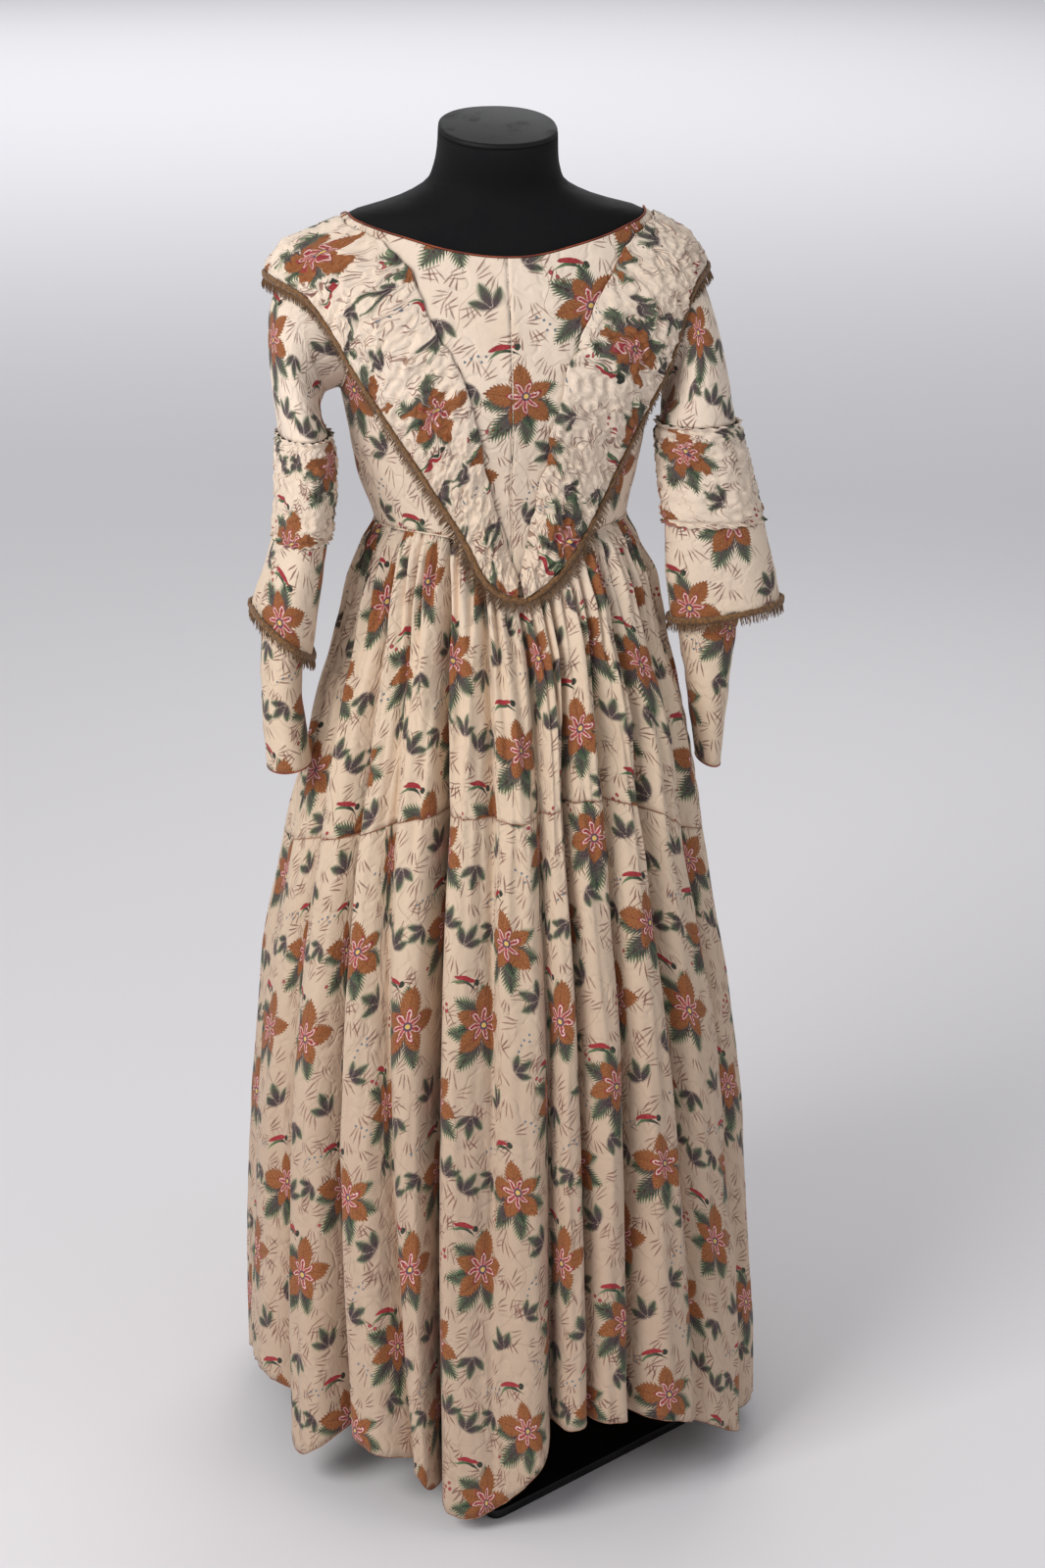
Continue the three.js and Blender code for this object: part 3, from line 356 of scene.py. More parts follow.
def waist_edge(turn):
    """Height of the bodice's lower edge, straight between its columns."""
    start = np.floor(np.asarray(turn, float) / PANEL_STEP) * PANEL_STEP
    low = smooth(BODICE_LINES, "turn", "waist", wrap_turn(start))
    high = smooth(BODICE_LINES, "turn", "waist", wrap_turn(start + PANEL_STEP))
    return mix(low, high, (turn - start) / PANEL_STEP)


def lattice(ix, iy, seed: float):
    """Repeatable number from 0 to 1 for a pair of whole numbers."""
    value = np.sin(ix * 127.1 + iy * 311.7 + seed * 74.7) * 43758.5453
    return value - np.floor(value)


def noise(x, y, seed: float = 0):
    """Smooth noise, about -1 to 1, with cells of size 1."""
    ix, iy = np.floor(x), np.floor(y)
    fx, fy = x - ix, y - iy

    def corner(dx: int, dy: int):
        """Share of one corner's slope."""
        turn = 2 * np.pi * lattice(ix + dx, iy + dy, seed)
        return np.cos(turn) * (fx - dx) + np.sin(turn) * (fy - dy)

    sx, sy = (f * f * f * (f * (f * 6 - 15) + 10) for f in (fx, fy))
    low = mix(corner(0, 0), corner(1, 0), sx)
    high = mix(corner(0, 1), corner(1, 1), sx)
    return 1.5 * mix(low, high, sy)


def ridges(x, y, seed: float):
    """Sharp-crested wrinkles from 0 to 1."""
    return (1 - np.minimum(1, np.abs(noise(x, y, seed)) * 2.4)) ** 1.4


# ------------------------------------------------------------------ meshes
def linked(name: str, mesh: bpy.types.Mesh, material: bpy.types.Material) -> bpy.types.Object:
    """Puts a mesh into the scene as a smooth shaded object with one material."""
    mesh.materials.append(material)
    mesh.polygons.foreach_set("use_smooth", np.ones(len(mesh.polygons), bool))
    obj = bpy.data.objects.new(name, mesh)
    bpy.context.scene.collection.objects.link(obj)
    return obj


def mesh_of(name: str, points: np.ndarray, faces: np.ndarray, uv: np.ndarray) -> bpy.types.Mesh:
    """Mesh with a cloth map.

    Args:
        name: mesh name.
        points: n by 3, in millimetres.
        faces: m by 3 or m by 4 point numbers.
        uv: m by corners by 2, in metres of flat cloth.

    Returns:
        The mesh, without unused points.
    """
    used, numbers = np.unique(faces, return_inverse=True)
    mesh = bpy.data.meshes.new(name)
    mesh.from_pydata((points[used] * MM).tolist(), [], numbers.reshape(faces.shape).tolist())
    layer = mesh.uv_layers.new(name=CLOTH_MAP)
    layer.data.foreach_set("uv", np.ascontiguousarray(uv, np.float32).ravel())
    return mesh


def cloth_sheet(
    name: str,
    grid: np.ndarray,
    uv: np.ndarray,
    thick: float,
    material: bpy.types.Material,
    closed: bool = False,
    flip: bool = False,
    keep: np.ndarray | None = None,
) -> bpy.types.Object:
    """A shell of cloth from a grid of outer points, rows running down.

    Args:
        name: piece name.
        grid: rows by columns by 3, in millimetres.
        uv: rows by columns (one more if closed) by 2, in metres.
        thick: cloth thickness in millimetres, laid inwards.
        material: its finish.
        closed: whether the last column joins the first.
        flip: turns the faces over.
        keep: which faces stay, rows - 1 by spans.

    Returns:
        The piece.
    """
    rows, cols = grid.shape[:2]
    spans = cols if closed else cols - 1
    r, c = np.meshgrid(np.arange(rows - 1), np.arange(spans), indexing="ij")
    corners = [(r, c), (r + 1, c), (r + 1, c + 1), (r, c + 1)]
    if flip:
        corners.reverse()
    faces = np.stack([a * cols + b % cols for a, b in corners], -1).reshape(-1, 4)
    loops = np.stack([uv[a, b] for a, b in corners], 2).reshape(-1, 4, 2)
    if keep is not None:
        faces, loops = faces[keep.ravel()], loops[keep.ravel()]
    obj = linked(name, mesh_of(name, grid.reshape(-1, 3), faces, loops), material)
    shell = obj.modifiers.new("Cloth thickness", "SOLIDIFY")
    shell.thickness = thick * MM
    shell.offset = -1
    shell.use_even_offset = False
    return obj


def ring_faces(count: int, sides: int, closed: bool = False) -> tuple[np.ndarray, ...]:
    """Faces between rings of points.

    Args:
        count: how many rings.
        sides: points in each.
        closed: whether the last ring joins the first.

    Returns:
        Ring number and side number of each corner, by span, side and corner, and the faces.
    """
    spans = count if closed else count - 1
    ring, side = np.meshgrid(np.arange(spans), np.arange(sides), indexing="ij")
    ring, side = ring[..., None] + [0, 0, 1, 1], side[..., None] + [0, 1, 1, 0]
    return ring, side, ((ring % count) * sides + side % sides).reshape(-1, 4)


def filled_loft(
    name: str, rings: np.ndarray, material: bpy.types.Material, closed: bool = False
) -> bpy.types.Object:
    """A filled body through rings of points, with flat ends, or a closed ring of rings."""
    ring, side, faces = ring_faces(*rings.shape[:2], closed)
    step = np.linalg.norm(np.roll(rings, -1, 1) - rings, axis=-1).mean(0)
    around = np.concatenate([[0], np.cumsum(step)]) * MM
    along = run_along(rings.mean(1))
    along = np.append(along, along[-1] + 5) * MM
    loops = np.stack([around[side], along[ring]], -1).reshape(-1, 4, 2)
    mesh = mesh_of(name, rings.reshape(-1, 3), faces, loops)
    obj = linked(name, mesh, material)
    if not closed:
        cap_ends(mesh)
    face_outwards(mesh)
    return obj


def cap_ends(mesh: bpy.types.Mesh) -> None:
    """Closes the open ends of a tube with one face each."""
    bm = bmesh.new()
    bm.from_mesh(mesh)
    bmesh.ops.holes_fill(bm, edges=[e for e in bm.edges if e.is_boundary])
    bm.to_mesh(mesh)
    bm.free()


def face_outwards(mesh: bpy.types.Mesh) -> None:
    """Turns every face of a closed mesh outwards."""
    bm = bmesh.new()
    bm.from_mesh(mesh)
    bmesh.ops.recalc_face_normals(bm, faces=bm.faces)
    bm.to_mesh(mesh)
    bm.free()


def round_the_line(line: np.ndarray, one: np.ndarray, other: np.ndarray, sides: int) -> np.ndarray:
    """Rings of points round a line, on ellipses with two given half axes at each of its points."""
    angle = (2 * np.pi * np.arange(sides) / sides)[:, None]
    line, one, other = (part[..., None, :] for part in (line, one, other))
    return line + one * np.cos(angle) + other * np.sin(angle)


def cord(
    name: str, line: np.ndarray, radius: float, material: bpy.types.Material, closed: bool
) -> bpy.types.Object:
    """A round piping along a line of points."""
    ahead = np.roll(line, -1, 0) - np.roll(line, 1, 0) if closed else np.gradient(line, axis=0)
    along = unit(ahead)
    out = line * LEVEL
    out = unit(out - along * np.sum(out * along, -1, keepdims=True))
    rings = round_the_line(line, radius * out, radius * np.cross(along, out), CORD_SIDES)
    return filled_loft(name, rings, material, closed)


def resample(rings: np.ndarray, count: int) -> np.ndarray:
    """More rings on smooth lines through a few rings."""
    keys = np.arange(len(rings), dtype=float)
    return smooth_line(keys, rings, np.linspace(0, len(rings) - 1, count))


def arc_map(grid: np.ndarray, closed: bool, offset: tuple[float, float]) -> np.ndarray:
    """Cloth map from lengths along a grid, in metres, with v counted from the last row up."""
    around = np.roll(grid, -1, 1) - grid if closed else np.diff(grid, axis=1)
    across = np.cumsum(np.linalg.norm(around, axis=-1), 1)
    u = np.concatenate([np.zeros((len(grid), 1)), across], 1)
    down = np.linalg.norm(np.diff(grid, axis=0), axis=-1)
    v = np.concatenate([np.cumsum(down[::-1], 0)[::-1], np.zeros((1, grid.shape[1]))])
    if closed:
        v = np.concatenate([v, v[:, :1]], 1)
    u = u - u[:, u.shape[1] // 2][:, None]
    return np.stack([u * MM + offset[0], v * MM + offset[1]], -1)


def own(obj: bpy.types.Object, slot: str, *nodes: str) -> bpy.types.Object:
    """Rides a piece on the only body and hides the solids it stands for."""
    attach(obj, ROOT)
    if nodes:
        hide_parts(*nodes)
    LOG.info("%s: %d faces", obj.name, len(obj.data.polygons))
    return obj


# ------------------------------------------------------------------ finishes
def srgb(red: float, green: float, blue: float) -> tuple[float, float, float, float]:
    """Linear colour of display values from 0 to 255."""
    channels = [value / 255 for value in (red, green, blue)]
    linear = [c / 12.92 if c <= 0.04045 else ((c + 0.055) / 1.055) ** 2.4 for c in channels]
    return (*linear, 1.0)


class Wire:
    """A value on its way through a shader, which adds up like an ordinary number."""

    def __init__(self, weaver: "Weaver", socket: bpy.types.NodeSocket) -> None:
        """Takes the socket that the value comes from."""
        self.weaver, self.socket = weaver, socket

    def __add__(self, other) -> "Wire":
        """Sum."""
        return self.weaver.math("ADD", self, other)

    def __sub__(self, other) -> "Wire":
        """Difference."""
        return self.weaver.math("SUBTRACT", self, other)

    def __rsub__(self, other) -> "Wire":
        """Difference from a number."""
        return self.weaver.math("SUBTRACT", other, self)

    def __mul__(self, other) -> "Wire":
        """Product."""
        return self.weaver.math("MULTIPLY", self, other)

    def __truediv__(self, other) -> "Wire":
        """Quotient."""
        return self.weaver.math("DIVIDE", self, other)

    def __rtruediv__(self, other) -> "Wire":
        """Quotient of a number."""
        return self.weaver.math("DIVIDE", other, self)

    def __pow__(self, other) -> "Wire":
        """Power."""
        return self.weaver.math("POWER", self, other)

    def __abs__(self) -> "Wire":
        """Size without the sign."""
        return self.weaver.math("ABSOLUTE", self)

    __radd__, __rmul__ = __add__, __mul__


class Weaver:
    """Lays shader nodes into one tree with short calls."""

    def __init__(self, tree: bpy.types.NodeTree) -> None:
        """Starts on an empty tree."""
        self.tree = tree
        tree.nodes.clear()

    def node(self, kind: str, **settings) -> bpy.types.Node:
        """A new node with its settings."""
        node = self.tree.nodes.new(kind)
        for name, value in settings.items():
            setattr(node, name, value)
        return node

    def feed(self, socket: bpy.types.NodeSocket, value) -> None:
        """Links a socket, or sets its value."""
        value = value.socket if isinstance(value, Wire) else value
        if isinstance(value, bpy.types.NodeSocket):
            self.tree.links.new(value, socket)
        else:
            socket.default_value = value

    def result(self, node: bpy.types.Node, values: dict, output: int | str = 0) -> Wire:
        """What a node gives for the values fed to its named or numbered sockets."""
        for key, value in values.items():
            self.feed(node.inputs[key], value)
        return Wire(self, node.outputs[output])

    def math(self, operation: str, *values, clamp: bool = False) -> Wire:
        """Result of one sum."""
        node = self.node("ShaderNodeMath", operation=operation, use_clamp=clamp)
        return self.result(node, dict(enumerate(values)))

    def vector(self, operation: str, *values) -> Wire:
        """Result of one vector sum; a length comes back as a number."""
        node = self.node("ShaderNodeVectorMath", operation=operation)
        output = "Value" if operation == "LENGTH" else "Vector"
        return self.result(node, dict(enumerate(values)), output)

    def split(self, vector) -> tuple[Wire, ...]:
        """The x, y and z of a vector."""
        node = self.node("ShaderNodeSeparateXYZ")
        self.feed(node.inputs[0], vector)
        return tuple(Wire(self, socket) for socket in node.outputs)

    def blend(self, factor, first, second) -> Wire:
        """Mix of two colours."""
        node = self.node("ShaderNodeMix", data_type="RGBA")
        return self.result(node, {0: factor, 6: first, 7: second}, 2)

    def step(self, value, low: float, high: float, start: float = 0, end: float = 1) -> Wire:
        """Soft step of a value between low and high."""
        node = self.node("ShaderNodeMapRange", interpolation_type="SMOOTHSTEP")
        return self.result(node, dict(enumerate((value, low, high, start, end))))

    def over(self, ground, value, low: float, high: float, colour, most: float = 1) -> Wire:
        """A colour laid over the ground where a value steps from low to high."""
        return self.blend(self.step(value, low, high, 0, most), ground, colour)

    def noise(self, vector, scale: float, detail: float = 2, roughness: float = 0.5, colour=False):
        """Noise value or colour at a vector."""
        node = self.node("ShaderNodeTexNoise", noise_dimensions="3D")
        values = {"Vector": vector, "Scale": scale, "Detail": detail, "Roughness": roughness}
        return self.result(node, values, "Color" if colour else "Fac")

    def turned(self, vector, angle) -> Wire:
        """Vector turned about Z by an angle in radians."""
        node = self.node("ShaderNodeVectorRotate", rotation_type="Z_AXIS")
        return self.result(node, {"Vector": vector, "Angle": angle})

    def bump(self, height, distance: float, strength: float, normal=None) -> Wire:
        """Normal raised by a height."""
        values = {"Height": height, "Distance": distance, "Strength": strength}
        if normal is not None:
            values["Normal"] = normal
        return self.result(self.node("ShaderNodeBump"), values)

    def cloth_map(self) -> Wire:
        """The cloth's own coordinates in metres."""
        return self.result(self.node("ShaderNodeUVMap", uv_map=CLOTH_MAP), {})

    def place(self) -> Wire:
        """Place in the object's frame."""
        return self.result(self.node("ShaderNodeTexCoord"), {}, "Object")

    def paint(self, shader: bpy.types.Node, colour, rough, normal) -> None:
        """Feeds a shader's colour, roughness and normal."""
        for name, value in (("Base Color", colour), ("Roughness", rough), ("Normal", normal)):
            self.feed(shader.inputs[name], value)


def surface(name: str, **fixed) -> tuple[bpy.types.Material, Weaver, bpy.types.Node]:
    """A new material with its shader, whose plain values are set on its own sockets.

    Args:
        name: material name.
        fixed: socket values, with underscores for spaces.

    Returns:
        The material, its weaver and its shader node.
    """
    material = bpy.data.materials.new(name)
    material.use_nodes = True
    weaver = Weaver(material.node_tree)
    shader = weaver.node("ShaderNodeBsdfPrincipled")
    out = weaver.node("ShaderNodeOutputMaterial")
    weaver.feed(out.inputs["Surface"], shader.outputs[0])
    for socket, value in fixed.items():
        shader.inputs[socket.replace("_", " ")].default_value = value
    return material, weaver, shader


class Motif(Enum):
    """The printed motifs."""

    FLOWER = "flower"
    LEAVES = "leaves"
    BUD = "bud"
    BERRIES = "berries"
    SPRIG = "sprig"


@dataclass(frozen=True)
class Print:
    """One motif in the repeat: its place in centimetres, its turn and its size."""

    motif: Motif
    x: float
    y: float
    turn: float
    size: float
    extra: float = 0.0


REPEAT = (18.0, 25.0)
REPEAT_PRINTS = table(
    Print,
    (Motif.BERRIES, 6.4, 10.0, 20, 0.21, 0), (Motif.BERRIES, 12.6, 24.2, 75, 0.21, 0),
    (Motif.BERRIES, 16.6, 5.4, -40, 0.2, 0), (Motif.BERRIES, 4.6, 16.9, 10, 0.13, 1),
    (Motif.BERRIES, 11.2, 20.3, 60, 0.13, 1), (Motif.BERRIES, 10.4, 3.2, -30, 0.13, 1),
    (Motif.BUD, 13.9, 25.3, 8, 1.2), (Motif.BUD, 7.4, 17.6, -12, 1.15),
    (Motif.BUD, 1.4, 9.1, 14, 1.1), (Motif.LEAVES, 1.2, 12.6, 35, 2.6),
    (Motif.LEAVES, 6.9, 21.4, -25, 2.8), (Motif.LEAVES, 12.9, 7.2, -60, 2.9),
    (Motif.LEAVES, 17.2, 14.2, 20, 2.5), (Motif.LEAVES, 13.9, 16.4, 120, 2.4),
    (Motif.LEAVES, 2.2, 20.6, 190, 2.6), (Motif.LEAVES, 9.6, 0.4, 60, 2.4),
    (Motif.LEAVES, 4.9, 14.2, -130, 2.3), (Motif.LEAVES, 3.7, 4.3, 216, 5.2),
    (Motif.LEAVES, 4.2, 5.0, -58, 4.6), (Motif.LEAVES, 9.6, 12.6, 224, 5.4),
    (Motif.LEAVES, 9.2, 13.3, 118, 4.4), (Motif.LEAVES, 15.4, 21.2, 180, 5.4),
    (Motif.LEAVES, 15.8, 21.8, -64, 4.6), (Motif.FLOWER, 3.5, 4.6, 8, 3.4, 0.22),
    (Motif.FLOWER, 9.4, 13.1, -82, 3.2, 0.25), (Motif.FLOWER, 15.5, 21.6, 40, 3.1, 0.1),
)
SPRIG_LAYERS = ((2.9, 2.5), (3.6, 3.5), (3.1, 0.5))
SPRIG_START = (7.31, 3.77, 0.0)
BERRY_SPOTS = ((0, 0), (0.62, 0.3), (0.98, -0.16), (1.34, 0.42), (-0.55, -0.42))


class PrintBlocks:
    """The node groups that stamp each motif."""

    def __init__(self) -> None:
        """Cuts every block once."""
        cuts = (self.flower, self.leaves, self.bud, self.berries, self.sprig)
        self.blocks = {motif: self.block(motif.value, cut) for motif, cut in zip(Motif, cuts)}

    def block(self, name: str, cut) -> bpy.types.NodeTree:
        """A node group with the sockets that all blocks share.

        Args:
            name: group name.
            cut: method that lays the motif's nodes.

        Returns:
            The group.
        """
        tree = bpy.data.node_groups.new(name, "ShaderNodeTree")
        for way, sockets in (
            ("INPUT", (("Place", "Vector"), ("Size", "Float"), ("Extra", "Float"))),
            ("OUTPUT", (("Colour", "Color"), ("Cover", "Float"))),
        ):
            for socket, kind in sockets:
                tree.interface.new_socket(socket, in_out=way, socket_type=f"NodeSocket{kind}")
        weaver = Weaver(tree)
        source = weaver.node("NodeGroupInput").outputs
        place, size, extra = (Wire(weaver, source[key]) for key in ("Place", "Size", "Extra"))
        colour, cover = cut(weaver, place, size, extra)
        sink = weaver.node("NodeGroupOutput")
        weaver.feed(sink.inputs["Colour"], colour)
        weaver.feed(sink.inputs["Cover"], cover)
        return tree

    def spokes(self, w: Weaver, place: Wire, spread: float, limit: float) -> tuple[Wire, ...]:
        """Folds the plane into equal spokes round the centre.

        Args:
            w: the weaver.
            place: place in the motif.
            spread: angle between spokes in radians.
            limit: highest number of a spoke on either side of the upright one.

        Returns:
            Radius, angle, spoke number, length along the spoke and distance beside it.
        """
        x, y, _ = w.split(place)
        radius = w.vector("LENGTH", place)
        angle = w.math("ARCTAN2", x, y)
        number = w.math("MAXIMUM", w.math("ROUND", angle / spread), -limit)
        number = w.math("MINIMUM", number, limit)
        off = angle - number * spread
        along, beside = radius * w.math("COSINE", off), abs(radius * w.math("SINE", off))
        return radius, angle, number, along, beside

    def blade(self, w: Weaver, t: Wire, beside: Wire, width: float, low: float, high: float,
              teeth: Wire) -> Wire:
        """How far inside a pointed blade a place lies.

        Args:
            w: the weaver.
            t: part of the blade's length.
            beside: distance from its middle line, in blade lengths.
            width: greatest half width, roughly.
            low: power of the width's growth at the root.
            high: power of its fall at the tip.
            teeth: number added to the width.

        Returns:
            Inside distance in blade lengths.
        """
        rise = w.math("MAXIMUM", t, 0.0) ** low
        fall = w.math("MAXIMUM", 1.0 - t, 0.0) ** high
        half = rise * fall * width
        return (half + teeth) * w.math("GREATER_THAN", half, 0.004) - beside

    def flower(self, w: Weaver, place: Wire, size: Wire, extra: Wire) -> tuple[Wire, Wire]:
        """Five serrated rust petals, the upright one longer, round a looped pink heart."""
        radius, angle, number, along, beside = self.spokes(w, place, 2 * math.pi / 5, 2.5)
        upright = w.math("LESS_THAN", abs(number), 0.5)
        uneven = w.math("SINE", number * 2.3) * 0.09
        length = (upright * extra + (uneven + 1.0)) * size
        t, side = along / length, beside / length
        saw = w.math("FRACT", (t - side * 0.5) * 9.0)
        inside = self.blade(w, t, side, 1.22, 1.05, 1.0, (saw - 0.65) * 0.085)
        petals = w.step(inside, -0.005, 0.02)
        vein = w.math("SINE", (t - side * 1.2) * 55.0)
        shade = vein * 0.12 + w.step(w.noise(place, 5.0, 3, 0.6), 0.3, 0.7)
        rust = w.blend(shade, srgb(130, 74, 38), srgb(158, 97, 55))
        rust = w.over(rust, side, 0.025, 0.0, srgb(100, 54, 28), 0.5)
        rust = w.over(rust, inside, 0.04, 0.0, srgb(98, 56, 32), 0.5)
        ragged = (w.noise(place, 1.6, 2) - 0.5) * 1.6
        lobe = abs(w.math("COSINE", (angle + ragged * 0.3) * 3.5))
        rim = lobe ** 1.5 * 0.36 + ragged * 0.07
        q = radius / ((rim + 0.14) * size)
        dash = w.step(lobe, 0.9, 0.97) * w.step(q, 0.9, 0.8)
        colour = w.over(rust, q, 1.14, 1.06, srgb(146, 40, 50))
        colour = w.over(colour, q, 1.0, 0.92, srgb(228, 196, 188))
        colour = w.over(colour, q, 0.76, 0.64, srgb(190, 108, 108))
        colour = w.blend(dash, colour, srgb(150, 44, 54))
        colour = w.over(colour, w.noise(place, 3.4, 2), 0.55, 0.62, rust, 0.7)
        core = w.vector("LENGTH", w.vector("SUBTRACT", place, (0.12, -0.1, 0.0))) / size
        colour = w.over(colour, core, 0.15, 0.12, srgb(84, 66, 88))
        colour = w.over(colour, core, 0.09, 0.06, srgb(222, 184, 104))
        return colour, w.math("MAXIMUM", petals, w.step(q, 1.2, 1.1))

    def leaves(self, w: Weaver, place: Wire, size: Wire, extra: Wire) -> tuple[Wire, Wire]:
        """Three feathery leaves in a fan, dusky at the root and green at the tip."""
        _, _, number, along, beside = self.spokes(w, place, 0.8, 1)
        length = (1.0 - abs(number) * 0.16) * size
        t, side = along / length, beside / length
        barb = w.math("FRACT", (t - side * 0.9) * 12.0)
        inside = self.blade(w, t, side, 0.76, 0.85, 0.8, (barb - 0.75) * 0.15)
        green = t + side * 1.3 + (barb - 0.5) * 0.3 + w.noise(place, 2.2, 3) * 0.4
        colour = w.blend(w.step(green, 0.65, 1.1), srgb(50, 36, 50), srgb(50, 74, 52))
        colour = w.over(colour, green, 0.95, 1.45, srgb(102, 128, 88))
        colour = w.over(colour, side, 0.028, 0.006, srgb(42, 34, 42), 0.8)
        return colour, w.step(inside, -0.01, 0.03) * 0.94

    def bud(self, w: Weaver, place: Wire, size: Wire, extra: Wire) -> tuple[Wire, Wire]:
        """A crimson bud over a dark green crescent."""
        x, y, _ = w.split(place)
        x, y = x / size, y / size
        rough = (w.noise(place, 4.0, 3) - 0.5) * 0.3
        bend = x * x * -0.16
        across, up = abs(x / 1.15) ** 2.0, abs((y - 0.3 - bend) / 0.24) ** 2.0
        red = w.step(across + up + rough, 1.0, 0.75)
        thick = (1.0 - abs(x / 1.45) ** 2.0) * 0.2
        green = w.step(thick + rough * 0.3 - abs(y - bend * 2.6), 0.0, 0.06)
        tip = w.math("SQRT", (x - 1.22) ** 2.0 + (y - 0.05) ** 2.0)
        colour = w.blend(w.step(x, -1.2, 0.9), srgb(96, 122, 84), srgb(44, 52, 44))
        colour = w.blend(red, colour, srgb(158, 44, 54))
        cover = w.math("MAXIMUM", w.math("MAXIMUM", red, green), w.step(tip, 0.34, 0.26))
        return colour, cover

    def berries(self, w: Weaver, place: Wire, size: Wire, extra: Wire) -> tuple[Wire, Wire]:
        """A loose spray of round berries, crimson or slate blue."""
        nearest = None
        for spot in BERRY_SPOTS:
            gap = w.vector("LENGTH", w.vector("SUBTRACT", place, (*spot, 0.0)))
            nearest = gap if nearest is None else w.math("MINIMUM", nearest, gap)
        share = nearest / size
        dark = w.blend(extra, srgb(134, 34, 48), srgb(84, 100, 116))
        pale = w.blend(extra, srgb(190, 84, 88), srgb(132, 146, 152))
        return w.over(dark, share, 0.75, 0.2, pale), w.step(share, 1.1, 0.85)

    def sprig(self, w: Weaver, place: Wire, size: Wire, extra: Wire) -> tuple[Wire, Wire]:
        """Scattered sprays of thin dusky strokes over the whole ground."""
        cells = w.node("ShaderNodeTexVoronoi", voronoi_dimensions="2D", feature="F1")
        w.feed(cells.inputs["Vector"], w.vector("ADD", place, SPRIG_START))
        w.feed(cells.inputs["Scale"], 1.0 / size)
        w.feed(cells.inputs["Randomness"], 0.8)
        centre = w.vector("SUBTRACT", cells.outputs["Position"], SPRIG_START)
        red, green, blue = w.split(cells.outputs["Color"])
        local = w.turned(w.vector("SUBTRACT", place, centre), red * 1.1 + extra)
        local = w.vector("ADD", local, (0.0, 1.1, 0.0))
        _, _, number, along, beside = self.spokes(w, local, 0.29, 1)
        length = (green * 0.8 + 2.0) * (1.0 - number * 0.14)
        t = (along - length * 0.3) / (length * 0.7)
        half = w.math("MAXIMUM", t * (1.0 - t) * 4.0, 0.0) * 0.085
        ink = w.step(half - beside, -0.02, 0.02) * w.math("GREATER_THAN", half, 0.006)
        fade = w.step(w.noise(place, 0.9, 2), 0.3, 0.62, 0.45, 0.85)
        colour = w.blend(blue, srgb(104, 62, 56), srgb(130, 86, 74))
        return colour, ink * w.step(blue, 0.12, 0.2) * fade


